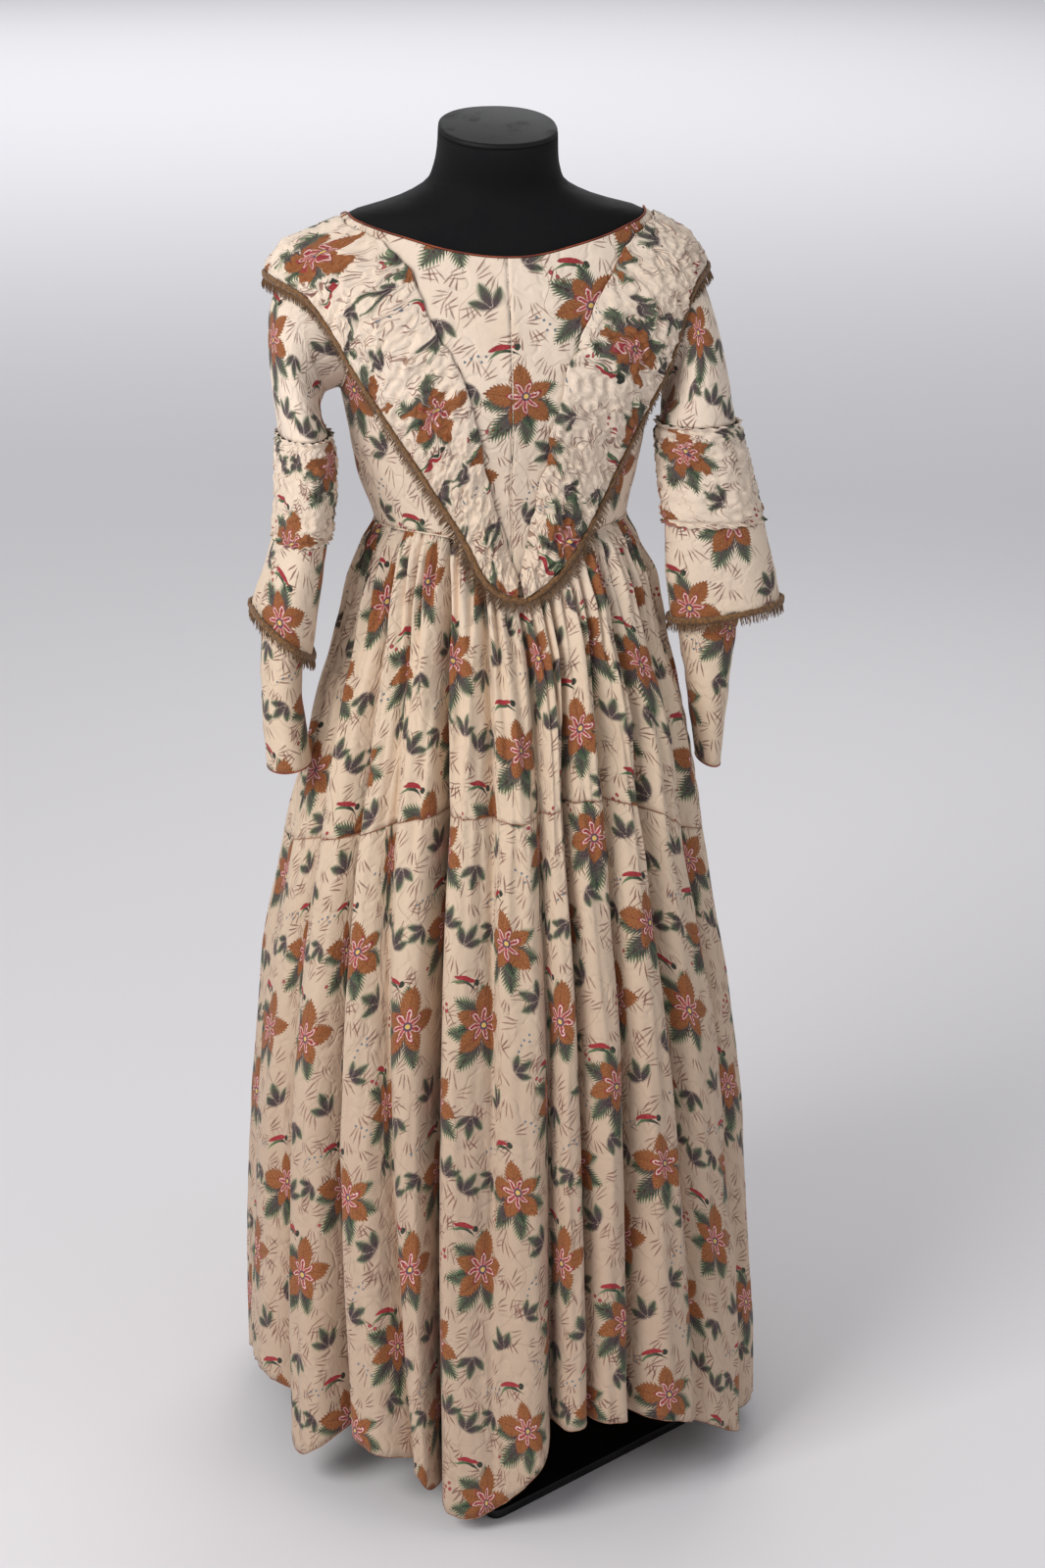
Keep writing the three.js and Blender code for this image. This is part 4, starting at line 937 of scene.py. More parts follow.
@dataclass(frozen=True)
class PrintedCotton:
    """Mellowed cream cotton with a block print of flowers, leaves, berries and sprigs."""

    name: str = "printed cotton"
    # The ground runs from the first colour high on the dress to the two darker ones low down:
    # partly ageing of the cloth, partly painted shade of the light falling off towards the hem.
    light: tuple = srgb(239, 221, 203)
    mellow_and_shade: tuple = srgb(222, 199, 174)
    deep: tuple = srgb(197, 172, 150)
    stain: tuple = srgb(186, 154, 122)
    stem: tuple = srgb(150, 116, 88)
    wobble: float = 0.12
    crumple: float = 0.45
    threads: float = 6300.0

    def stamp(self, w: Weaver, blocks: PrintBlocks, ground: Wire, centimetres: Wire,
              item: Print) -> Wire:
        """Stamps one motif of the repeat over the ground."""
        wide, tall = REPEAT
        moved = w.vector("SUBTRACT", centimetres, (item.x, item.y, 0.0))
        local = w.vector("WRAP", moved, (wide / 2, tall / 2, 1.0), (-wide / 2, -tall / 2, -1.0))
        return self.lay(w, blocks, ground, w.turned(local, math.radians(item.turn)), item)

    def lay(self, w: Weaver, blocks: PrintBlocks, ground: Wire, local: Wire, item: Print) -> Wire:
        """Lays a block's colour over the ground at a place."""
        group = w.node("ShaderNodeGroup")
        group.node_tree = blocks.blocks[item.motif]
        values = {"Place": local, "Size": item.size, "Extra": item.extra}
        colour = w.result(group, values, "Colour")
        return w.blend(group.outputs["Cover"], ground, colour)

    def vine(self, w: Weaver, ground: Wire, centimetres, start: float, sway: float, shift: float):
        """A thin winding stem that repeats with the print."""
        wide, tall = REPEAT
        x, y, _ = w.split(centimetres)
        phase = y * (2 * math.pi / tall) + shift
        bend = w.math("SINE", phase) * sway + w.math("SINE", phase * 5.0) * 0.5
        gap = abs(w.math("WRAP", x - start - bend, wide / 2, -wide / 2))
        return w.over(ground, gap, 0.06, 0.02, self.stem, 0.55)

    def ground(self, w: Weaver, where: Wire) -> Wire:
        """The unprinted cloth with faint stains and random ageing, darker towards the hem, partly
        from ageing and partly as painted shade of the light falling off lower down.
        """
        _, _, height = w.split(where)
        age = w.step(w.noise(where, 4.5, 4, 0.6), 0.35, 0.7)
        # Below 1.15 m and again below 0.85 m the ground turns darker and warmer: partly ageing,
        # partly painted shade of the light falling off lower down; the age noise is random ageing.
        aged_and_shaded = w.math("ADD", age * 0.35, w.step(height, 1.15, 0.75), clamp=True)
        ground = w.blend(aged_and_shaded, self.light, self.mellow_and_shade)
        ground = w.over(ground, height, 0.85, 0.3, self.deep)
        return w.over(ground, w.noise(where, 9.0, 5, 0.65), 0.56, 0.78, self.stain, 0.3)

    def make(self) -> bpy.types.Material:
        """The material."""
        material, w, shader = surface(
            self.name, Specular_IOR_Level=0.22, Sheen_Weight=0.12, Sheen_Roughness=0.45,
        )
        blocks = PrintBlocks()
        cloth = w.cloth_map()
        centimetres = w.vector("MULTIPLY", cloth, (100.0, 100.0, 0.0))
        drift = w.vector("SUBTRACT", w.noise(centimetres, 0.8, 2, colour=True), (0.5, 0.5, 0.5))
        drift = w.vector("MULTIPLY", drift, (2 * self.wobble, 2 * self.wobble, 0.0))
        centimetres = w.vector("ADD", centimetres, drift)
        ground = self.ground(w, w.place())
        for size, turn in SPRIG_LAYERS:
            sprigs = Print(Motif.SPRIG, 0, 0, 0, size, turn)
            ground = self.lay(w, blocks, ground, centimetres, sprigs)
        ground = self.vine(w, ground, centimetres, 6.0, 3.6, 0.4)
        ground = self.vine(w, ground, centimetres, 14.5, -3.2, 1.9)
        for item in REPEAT_PRINTS:
            ground = self.stamp(w, blocks, ground, centimetres, item)
        colour = w.over(ground, w.noise(centimetres, 6.0, 4, 0.7), 0.45, 0.8, self.mellow_and_shade, 0.22)
        rough = w.step(w.noise(centimetres, 1.3, 3), 0.3, 0.7, 0.78, 0.92)
        u, v, _ = w.split(w.vector("MULTIPLY", cloth, (self.threads, self.threads, 0.0)))
        crease = abs(w.noise(centimetres, 0.28, 2, 0.4) - 0.5)
        normal = w.bump(w.step(crease, 0.0, 0.05), 0.0014, 0.5)
        normal = w.bump(w.noise(centimetres, 0.55, 4, 0.55), 0.004, self.crumple, normal)
        weave = w.math("SINE", u) * w.math("SINE", v)
        w.paint(shader, colour, rough, w.bump(weave, 0.00008, 0.35, normal))
        return material


@dataclass(frozen=True)
class TwillPiping:
    """Rust-red cord covering with a diagonal thread."""

    name: str = "rust piping"
    dark: tuple = srgb(122, 52, 34)
    light: tuple = srgb(168, 84, 54)

    def make(self) -> bpy.types.Material:
        """The material."""
        material, w, shader = surface(self.name, Specular_IOR_Level=0.25, Sheen_Weight=0.15)
        u, v, _ = w.split(w.vector("MULTIPLY", w.cloth_map(), (1000.0, 1000.0, 0.0)))
        thread = w.math("SINE", (u + v) * 7.0)
        worn = w.step(w.noise(w.place(), 60.0, 3), 0.35, 0.7)
        rough = w.step(worn, 0.0, 1.0, 0.72, 0.9)
        w.paint(shader, w.blend(worn, self.dark, self.light), rough, w.bump(thread, 0.0002, 0.5))
        return material


@dataclass(frozen=True)
class SilkBraid:
    """Twisted tobacco-brown silk of the braid and its fringe."""

    name: str = "brown silk fringe"
    dark: tuple = srgb(84, 54, 26)
    light: tuple = srgb(152, 108, 58)

    def make(self) -> bpy.types.Material:
        """The material."""
        material, w, shader = surface(self.name, Specular_IOR_Level=0.45, Sheen_Weight=0.25)
        u, v, _ = w.split(w.vector("MULTIPLY", w.cloth_map(), (1000.0, 1000.0, 0.0)))
        ply = w.math("SINE", (u + v * 1.3) * 3.6)
        tone = w.noise(w.place(), 420.0, 2, 0.6)
        # The colour follows the random tone of the silk and the twist of the plies; the twist
        # share is painted shade in the grooves and painted highlight on the crests that the bump
        # raises.
        tone_and_ply_shade = w.math("ADD", w.step(tone, 0.3, 0.7), ply * 0.25, clamp=True)
        rough = w.step(tone, 0.3, 0.7, 0.5, 0.72)
        w.paint(shader, w.blend(tone_and_ply_shade, self.dark, self.light), rough, w.bump(ply, 0.0004, 0.6))
        return material


@dataclass(frozen=True)
class Jersey:
    """Black jersey drawn smooth over the dress form."""

    name: str = "black jersey"
    dark: tuple = srgb(7, 7, 9)
    light: tuple = srgb(13, 13, 16)

    def make(self) -> bpy.types.Material:
        """The material."""
        material, w, shader = surface(
            self.name, Specular_IOR_Level=0.2, Sheen_Weight=0.04, Sheen_Roughness=0.4,
        )
        u, v, _ = w.split(w.vector("MULTIPLY", w.cloth_map(), (7000.0, 7000.0, 0.0)))
        rib = w.math("SINE", u) + w.math("SINE", v) * 0.6
        lint = w.step(w.noise(w.place(), 30.0, 4, 0.6), 0.4, 0.75)
        rough = w.step(lint, 0.0, 1.0, 0.72, 0.85)
        w.paint(shader, w.blend(lint, self.dark, self.light), rough, w.bump(rib, 0.0001, 0.5))
        return material


@dataclass(frozen=True)
class SatinPaint:
    """Dark satin finish with fine orange peel and faint scuffs."""

    name: str
    dark: tuple
    light: tuple
    smooth: float
    rough: float

    def make(self) -> bpy.types.Material:
        """The material."""
        material, w, shader = surface(self.name, Specular_IOR_Level=0.3)
        where = w.place()
        scuff = w.step(w.noise(where, 35.0, 5, 0.7), 0.45, 0.75)
        rough = w.step(scuff, 0.0, 1.0, self.smooth, self.rough)
        peel = w.bump(w.noise(where, 900.0, 2), 0.0001, 0.3)
        w.paint(shader, w.blend(scuff, self.dark, self.light), rough, peel)
        return material


@dataclass(frozen=True)
class StudioFloor:
    """Pale painted studio floor."""

    name: str = "studio floor"
    pale: tuple = srgb(237, 235, 237)
    dim: tuple = srgb(235, 233, 236)

    def make(self) -> bpy.types.Material:
        """The material."""
        material, w, shader = surface(self.name, Specular_IOR_Level=0.1, Roughness=0.9)
        drift = w.step(w.noise(w.place(), 0.15, 1), 0.2, 0.8)
        w.feed(shader.inputs["Base Color"], w.blend(drift, self.pale, self.dim))
        return material


@dataclass(frozen=True)
class Wardrobe:
    """Every finish of the dress and its stand, made once."""

    cotton: bpy.types.Material = field(default_factory=lambda: PrintedCotton().make())
    puckers: bpy.types.Material = field(default_factory=lambda: PrintedCotton(
        "puckered cotton", crumple=1.0, wobble=0.32).make())
    piping: bpy.types.Material = field(default_factory=lambda: TwillPiping().make())
    tape: bpy.types.Material = field(default_factory=lambda: TwillPiping(
        "faded piping", srgb(132, 84, 60), srgb(186, 142, 112)).make())
    braid: bpy.types.Material = field(default_factory=lambda: SilkBraid().make())
    jersey: bpy.types.Material = field(default_factory=lambda: Jersey().make())
    cap: bpy.types.Material = field(default_factory=lambda: SatinPaint(
        "grey satin cap", srgb(9, 9, 11), srgb(14, 14, 17), 0.6, 0.75).make())
    metal: bpy.types.Material = field(default_factory=lambda: SatinPaint(
        "black stand paint", srgb(8, 8, 9), srgb(16, 16, 18), 0.3, 0.45).make())


# ------------------------------------------------------------------ sub-assemblies
@dataclass
class DressForm:
    """Limbless form: a jersey torso and the cap on its neck."""

    around: int = 96
    levels: int = 110
    slim: float = 1.5
    cap_round: tuple = ((1.0, 0.3), (1.0, 3.1), (0.992, 4.1), (0.975, 4.75), (0.95, 5.0))

    def ring(self, z: float, out: float) -> np.ndarray:
        """Ring of the form at a height; the neck leans forward and its cut is tilted."""
        turns = np.linspace(0, 360, self.around, endpoint=False)
        ring = body_point(FIGURE, turns, z, out)
        part = ease((z - NECK_LEAN_FROM) / (FORM_TOP - NECK_LEAN_FROM))
        ring[:, 2] += part * NECK_TILT * ring[:, 1]
        ring[:, 1] += part * NECK_LEAN
        return ring

    def build(self, wardrobe: Wardrobe) -> None:
        """Builds and dresses the torso and the cap."""
        heights = np.linspace(FORM_LOW, FORM_TOP, self.levels)
        slim = -self.slim * (1 - ease((heights - 1280) / 17))
        rings = np.stack([self.ring(z, out) for z, out in zip(heights, slim)])
        own(filled_loft("dress_form_torso", rings, wardrobe.jersey), "form_cover", "form_torso")
        seat = self.ring(FORM_TOP, -0.4)
        middle = np.array([0, NECK_LEAN, FORM_TOP])
        seat = seat - middle
        rings = np.stack([middle + seat * part + UP * up for part, up in self.cap_round])
        own(filled_loft("neck_cap", rings, wardrobe.cap), "form_cap", "form_cap")


@dataclass
class Stand:
    """Flat four-cornered base with its pole."""

    long: float = 380.0
    deep: float = 340.0
    corner: float = 15.0
    front: tuple[float, float] = (-46.0, -273.0)
    long_turn: float = 35.3
    deep_turn: float = 114.5
    edge: tuple = ((1.0, 0.0), (0.0, 0.8), (0.0, 9.0), (0.35, 9.7), (1.1, 10.0))
    arc: int = 6

    def outline(self) -> np.ndarray:
        """The plate's outline with its rounded corners."""
        def away(turn: float, length: float) -> np.ndarray:
            """Step of a length in a direction."""
            return np.array([math.cos(math.radians(turn)), math.sin(math.radians(turn))]) * length

        start = np.array(self.front)
        long, deep = away(self.long_turn, self.long), away(self.deep_turn, self.deep)
        corners = [start, start + long, start + long + deep, start + deep]
        points = []
        for i, corner in enumerate(corners):
            ends = [corners[i - 1] - corner, corners[(i + 1) % 4] - corner]
            before, after = (corner + e / np.linalg.norm(e) * self.corner for e in ends)
            for t in np.linspace(0, 1, self.arc):
                points.append((1 - t) ** 2 * before + 2 * t * (1 - t) * corner + t * t * after)
        return np.array(points)

    def build(self, wardrobe: Wardrobe, frame: dict) -> None:
        """Builds the bevelled base and finishes the pole."""
        line = self.outline()
        middle = line.mean(0)
        reach = np.linalg.norm(line - middle, axis=-1, keepdims=True)
        flat = np.zeros((len(line), 1))
        rings = np.stack([
            np.concatenate([middle + (line - middle) * (1 - inset / reach), flat + z], 1)
            for inset, z in self.edge
        ])
        base = filled_loft("stand_base_plate", rings, wardrobe.metal)
        own(base, "stand_metal", "stand_base")
        edges = base.modifiers.new("Crisp edges", "EDGE_SPLIT")
        edges.split_angle = math.radians(30)
        pole = frame["nodes"]["stand_pole"]
        for slot in pole.material_slots:
            slot.material = wardrobe.metal
        LOG.info("stand_pole: painted")


def flat_cut(obj: bpy.types.Object) -> tuple[tuple[float, float], float]:
    """Width and length of the rectangle a piece is cut from, and the cut's own area."""
    mesh = obj.data
    uv = np.empty(len(mesh.loops) * 2, np.float32)
    mesh.uv_layers[CLOTH_MAP].data.foreach_get("uv", uv)
    corners = uv.reshape(-1, 4, 2).astype(float)
    low, high = corners.min((0, 1)), corners.max((0, 1))
    across, down = corners[:, 2] - corners[:, 0], corners[:, 3] - corners[:, 1]
    area = np.abs(across[:, 0] * down[:, 1] - across[:, 1] * down[:, 0]).sum() / 2
    return tuple((high - low).tolist()), float(area)


@dataclass(frozen=True)
class Sheet:
    """How a piece of cloth is held, what it lies on or hangs from, and what is sewn to it."""

    piece: str
    held: str
    rests_on: tuple
    carries: tuple = ()

    def declare(self) -> None:
        """Works out the size and area of the cut the piece comes from."""
        obj = bpy.data.objects[self.piece]
        (wide, long), area = flat_cut(obj)


def sheets() -> list[Sheet]:
    """Every piece of cloth on the form."""
    form, front, back = "dress_form_torso", "skirt_upper_front_cloth", "skirt_upper_back_cloth"
    sewn = {"front_left": "centre_front_seam", "front_right": "neck_cord",
            "back_left": "centre_back_seam", "back_right": "waist_cord"}
    rows = [
        Sheet(f"bodice_{part}_cloth", "stretched", (form,), (seam,)) for part, seam in sewn.items()
    ]
    names = [row.piece for row in rows]
    rows += [
        Sheet(front, "gathered", tuple(names[:2]), ("tier_cord_front",)),
        Sheet(back, "gathered", tuple(names[2:]), ("tier_cord_back",)),
        Sheet("skirt_lower_front_cloth", "gathered", (front,), ("hem_binding_front",)),
        Sheet("skirt_lower_back_right_cloth", "gathered", (back,), ("hem_binding_back",)),
        Sheet("skirt_lower_back_left_cloth", "gathered", (back,)),
    ]
    for word in ("left", "right"):
        panels = (f"bodice_front_{word}_cloth", f"bodice_back_{word}_cloth")
        head, ring = f"sleeve_head_{word}", f"sleeve_puckers_{word}"
        fringe = f"silk_fringe_{word}"
        rows += [
            Sheet(f"puckered_band_{word}_cloth", "gathered", (*panels, head), (f"band_{fringe}",)),
            Sheet(head, "hung", panels, (f"armhole_cord_{word}",)),
            Sheet(ring, "gathered", (head,)),
            Sheet(f"sleeve_bell_cloth_{word}", "hung", (ring,), (f"bell_{fringe}",)),
            Sheet(f"sleeve_lower_cloth_{word}", "hung", (ring,), (f"wrist_cord_{word}",)),
        ]
    return rows


@dataclass
class Bodice:
    """Pointed bodice of four panels on the form, with a piped neck and armholes."""

    columns: int = 92
    rows: int = 76
    slit: float = 0.1
    armhole_y: float = -4.0
    armhole_z: float = 1199.0
    armhole_deep: float = 50.0
    armhole_high: float = 69.0
    shell: float = 0.9
    neck_cord: float = 0.8
    waist_cord: float = 1.0
    armhole_cord: float = 1.0
    seam_cord: float = 0.7
    seam_sunk: float = 0.25
    hole_share: float = 0.95
    hole_from: float = 90.0

    def line(self, turn, out) -> np.ndarray:
        """Neckline at turns."""
        return body_point(FIGURE, turn, smooth(BODICE_LINES, "turn", "neck", wrap_turn(turn)), out)

    def relief(self, grid: np.ndarray, v: np.ndarray) -> np.ndarray:
        """Inward depth of the soft creases, none at the edges."""
        x, z = grid[..., 0], grid[..., 2]
        drag = noise((x + 0.6 * z) / 34, (z - 0.5 * np.abs(x)) / 90, 3) * 0.9
        small = ridges((x * 0.8 + z * 0.4) / 22, z / 48, 11) * 0.5
        waist = ridges(x / 9, z / 60, 5) * ease((1040 - z) / 60) * 0.7
        calm = ease(np.minimum(v, 1 - v) * 9) * ease(np.abs(x) / 16)
        return -np.clip(0.7 + drag + small + waist, 0, 2) * calm

    def panel(self, name: str, start: float, end: float, offset: float,
              wardrobe: Wardrobe) -> None:
        """Builds one panel between two turns."""
        turns = np.linspace(start, end, self.columns)
        v = np.linspace(1, 0, self.rows)[:, None]
        neck = smooth(BODICE_LINES, "turn", "neck", turns)
        z = mix(waist_edge(turns), neck, 1 - (1 - v) ** 1.3)
        out = self.ease_at(v)
        plain = body_point(FIGURE, turns, z, out)
        grid = body_point(FIGURE, turns, z, out + self.relief(plain, v))
        fine = np.linspace(start, end, 400)
        arc = run_along(body_point(FIGURE, fine, CHEST, BODICE_CLOTH + FORM_EASE))
        arc -= np.interp(0 if abs(start) < 1 or abs(end) < 1 else np.sign(start) * 180, fine, arc)
        u = np.interp(turns, fine, arc)
        uv = np.stack(np.broadcast_arrays(u * MM + offset, z * MM), -1)
        centre = (grid[:-1, :-1] + grid[1:, 1:]) / 2
        hole = ((centre[..., 1] - self.armhole_y) / self.armhole_deep) ** 2
        hole += ((centre[..., 2] - self.armhole_z) / self.armhole_high) ** 2
        keep = (hole > self.hole_share) | (np.abs(centre[..., 0]) < self.hole_from)
        obj = cloth_sheet(name, grid, uv, self.shell, wardrobe.cotton, keep=keep)
        own(obj, "printed_cotton", name.replace("_cloth", ""))

    def ease_at(self, v) -> np.ndarray:
        """How far the cloth's outer side is off the form, by part of the height."""
        return BODICE_CLOTH + mix(FORM_EASE, NECK_EASE, ease(3 * v - 2))

    def armhole(self, side: int, angle, out: float, proud: float = 1.3) -> np.ndarray:
        """Armhole seam on one side."""
        y = self.armhole_y + (self.armhole_deep + out) * np.sin(angle)
        z = self.armhole_z + (self.armhole_high + out) * np.cos(angle)
        x = body_side(FIGURE, side, y, z, FORM_EASE + BODICE_CLOTH) + side * proud
        return np.stack([x, y, z], -1)

    def build(self, wardrobe: Wardrobe) -> None:
        """Builds the panels and their pipings."""
        for name, start, end, offset in (
            ("bodice_front_left_cloth", -90 + self.slit, -self.slit, 0.083),
            ("bodice_front_right_cloth", self.slit, 90 - self.slit, 0.083),
            ("bodice_back_left_cloth", -180 + self.slit, -90 - self.slit, 0.31),
            ("bodice_back_right_cloth", 90 + self.slit, 180 - self.slit, 0.47),
        ):
            self.panel(name, start, end, offset, wardrobe)
        cotton, turns = wardrobe.cotton, np.linspace(0, 360, 360, endpoint=False)
        neck = self.line(turns, NECK_EASE + BODICE_CLOTH / 2) + UP * (self.neck_cord + SEAM_GAP)
        piping = cord("neck_cord", neck, self.neck_cord, wardrobe.piping, True)
        own(piping, "piping", "neck_piping")
        waist = body_point(FIGURE, turns, waist_edge(turns) - 0.5, FORM_EASE + BODICE_CLOTH + 0.3)
        own(cord("waist_cord", waist, self.waist_cord, cotton, True), "printed_cotton")
        for turn, name in ((0.0, "centre_front_seam"), (180.0, "centre_back_seam")):
            part = np.linspace(0, 1, 120)
            low, high = waist_edge(turn) + 1, smooth(BODICE_LINES, "turn", "neck", turn) - 1
            out = self.ease_at(part) - self.seam_sunk
            seam = body_point(FIGURE, turn, mix(low, high, part), out)
            own(cord(name, seam, self.seam_cord, cotton, False), "printed_cotton")
        angle = np.linspace(0, 2 * np.pi, 160, endpoint=False)
        for side, name in ((-1, "armhole_cord_left"), (1, "armhole_cord_right")):
            line = self.armhole(side, angle, 2.0, 0.8)
            own(cord(name, line, self.armhole_cord, cotton, True), "printed_cotton")


@dataclass
class PuckeredBands:
    """Two gathered bands from the point over the shoulders to the centre back."""

    along: int = 520
    across: int = 46
    pucker: float = 6.5
    fuller: float = 1.3
    shell: float = 0.7
    laid: float = 0.45

    def place(self, s, u, side: int) -> tuple:
        """Turn and height on a band."""
        at = np.asarray(s, float) * (len(BAND) - 1)
        keys = np.arange(len(BAND), dtype=float)

        def across(inner: str, outer: str) -> np.ndarray:
            """Value between the edges' columns."""
            low, high = (smooth_line(keys, column(BAND, key), at) for key in (inner, outer))
            return mix(low, high, u)

        turn = side * across("inner", "outer") + across("inner_lean", "outer_lean")
        return turn, across("inner_z", "outer_z")

    def over(self, turn, z, u, more) -> np.ndarray:
        """Points on a band: its inner edge lies on the bodice, its outer part over the sleeve."""
        low = body_point(FIGURE, turn, z, FORM_EASE + BODICE_CLOTH + 1.0 + more)
        high = body_point(OVERLAY, turn, z, BAND_CLOTH + more)
        return mix(low, high, ease(np.asarray(u) / self.laid)[..., None])

    def relief(self, long: np.ndarray, wide: np.ndarray, u: np.ndarray, seed: float) -> np.ndarray:
        """Height of the puckers from 0 to 1."""
        sway = noise(long / 24, wide / 20, seed) * 8
        lean = 6 * noise(long / 18, wide / 15, seed + 3)
        big = ridges((long + sway) / 15, (wide + lean) / 17, seed + 1)
        cross = ridges((long + 0.8 * wide + lean) / 15, (wide - 0.6 * long) / 22, seed + 13)
        small = ridges((long - sway) / 7, (wide + lean) / 9, seed + 5)
        soft = 0.5 + 0.5 * noise(long / 20, wide / 15, seed + 8)
        shape = np.clip(0.05 + 0.5 * big + 0.42 * cross + 0.26 * small + 0.26 * soft, 0, 1)
        edge = ease(np.minimum(u, 1 - u) * 11)
        return mix(0.25, shape, edge)

    def band(self, name: str, side: int, wardrobe: Wardrobe) -> None:
        """Builds one band."""
        s = np.linspace(0, 1, self.along)
        u = np.linspace(0, 1, self.across)[:, None]
        at, level = self.along * s, np.zeros(self.along)
        ragged = noise(at / 26, level, 50 + side) + 0.5 * noise(at / 9, level, 55 + side)
        turn, z = self.place(s, u + 0.05 * (0.4 + ragged) * (1 - u) ** 3, side)
        flat = body_point(OVERLAY, turn, z, 0)
        long = np.cumsum(np.linalg.norm(np.diff(flat, axis=1, prepend=flat[:, :1]), axis=-1), 1)
        long = np.broadcast_to(long[self.across // 2], long.shape)
        wide = np.cumsum(np.linalg.norm(np.diff(flat, axis=0, prepend=flat[:1]), axis=-1), 0)
        height = self.relief(long, wide, np.broadcast_to(u, long.shape), 20 + 3 * side)
        grid = self.over(turn, z, np.broadcast_to(u, long.shape), self.pucker * height)
        shift = 8 * np.stack(
            [noise(long / 14, wide / 12, 41), noise(long / 12, wide / 14, 47)], -1)
        cloth = np.stack([1.04 * side * wide, -self.fuller * long], -1) + shift
        uv = cloth * MM + [0.11 * side, 0.05]
        obj = cloth_sheet(name, grid, uv, self.shell, wardrobe.puckers, flip=side < 0)
        own(obj, "printed_cotton", name.replace("_cloth", ""))

    def build(self, wardrobe: Wardrobe) -> None:
        """Builds both bands."""
        self.band("puckered_band_left_cloth", -1, wardrobe)
        self.band("puckered_band_right_cloth", 1, wardrobe)


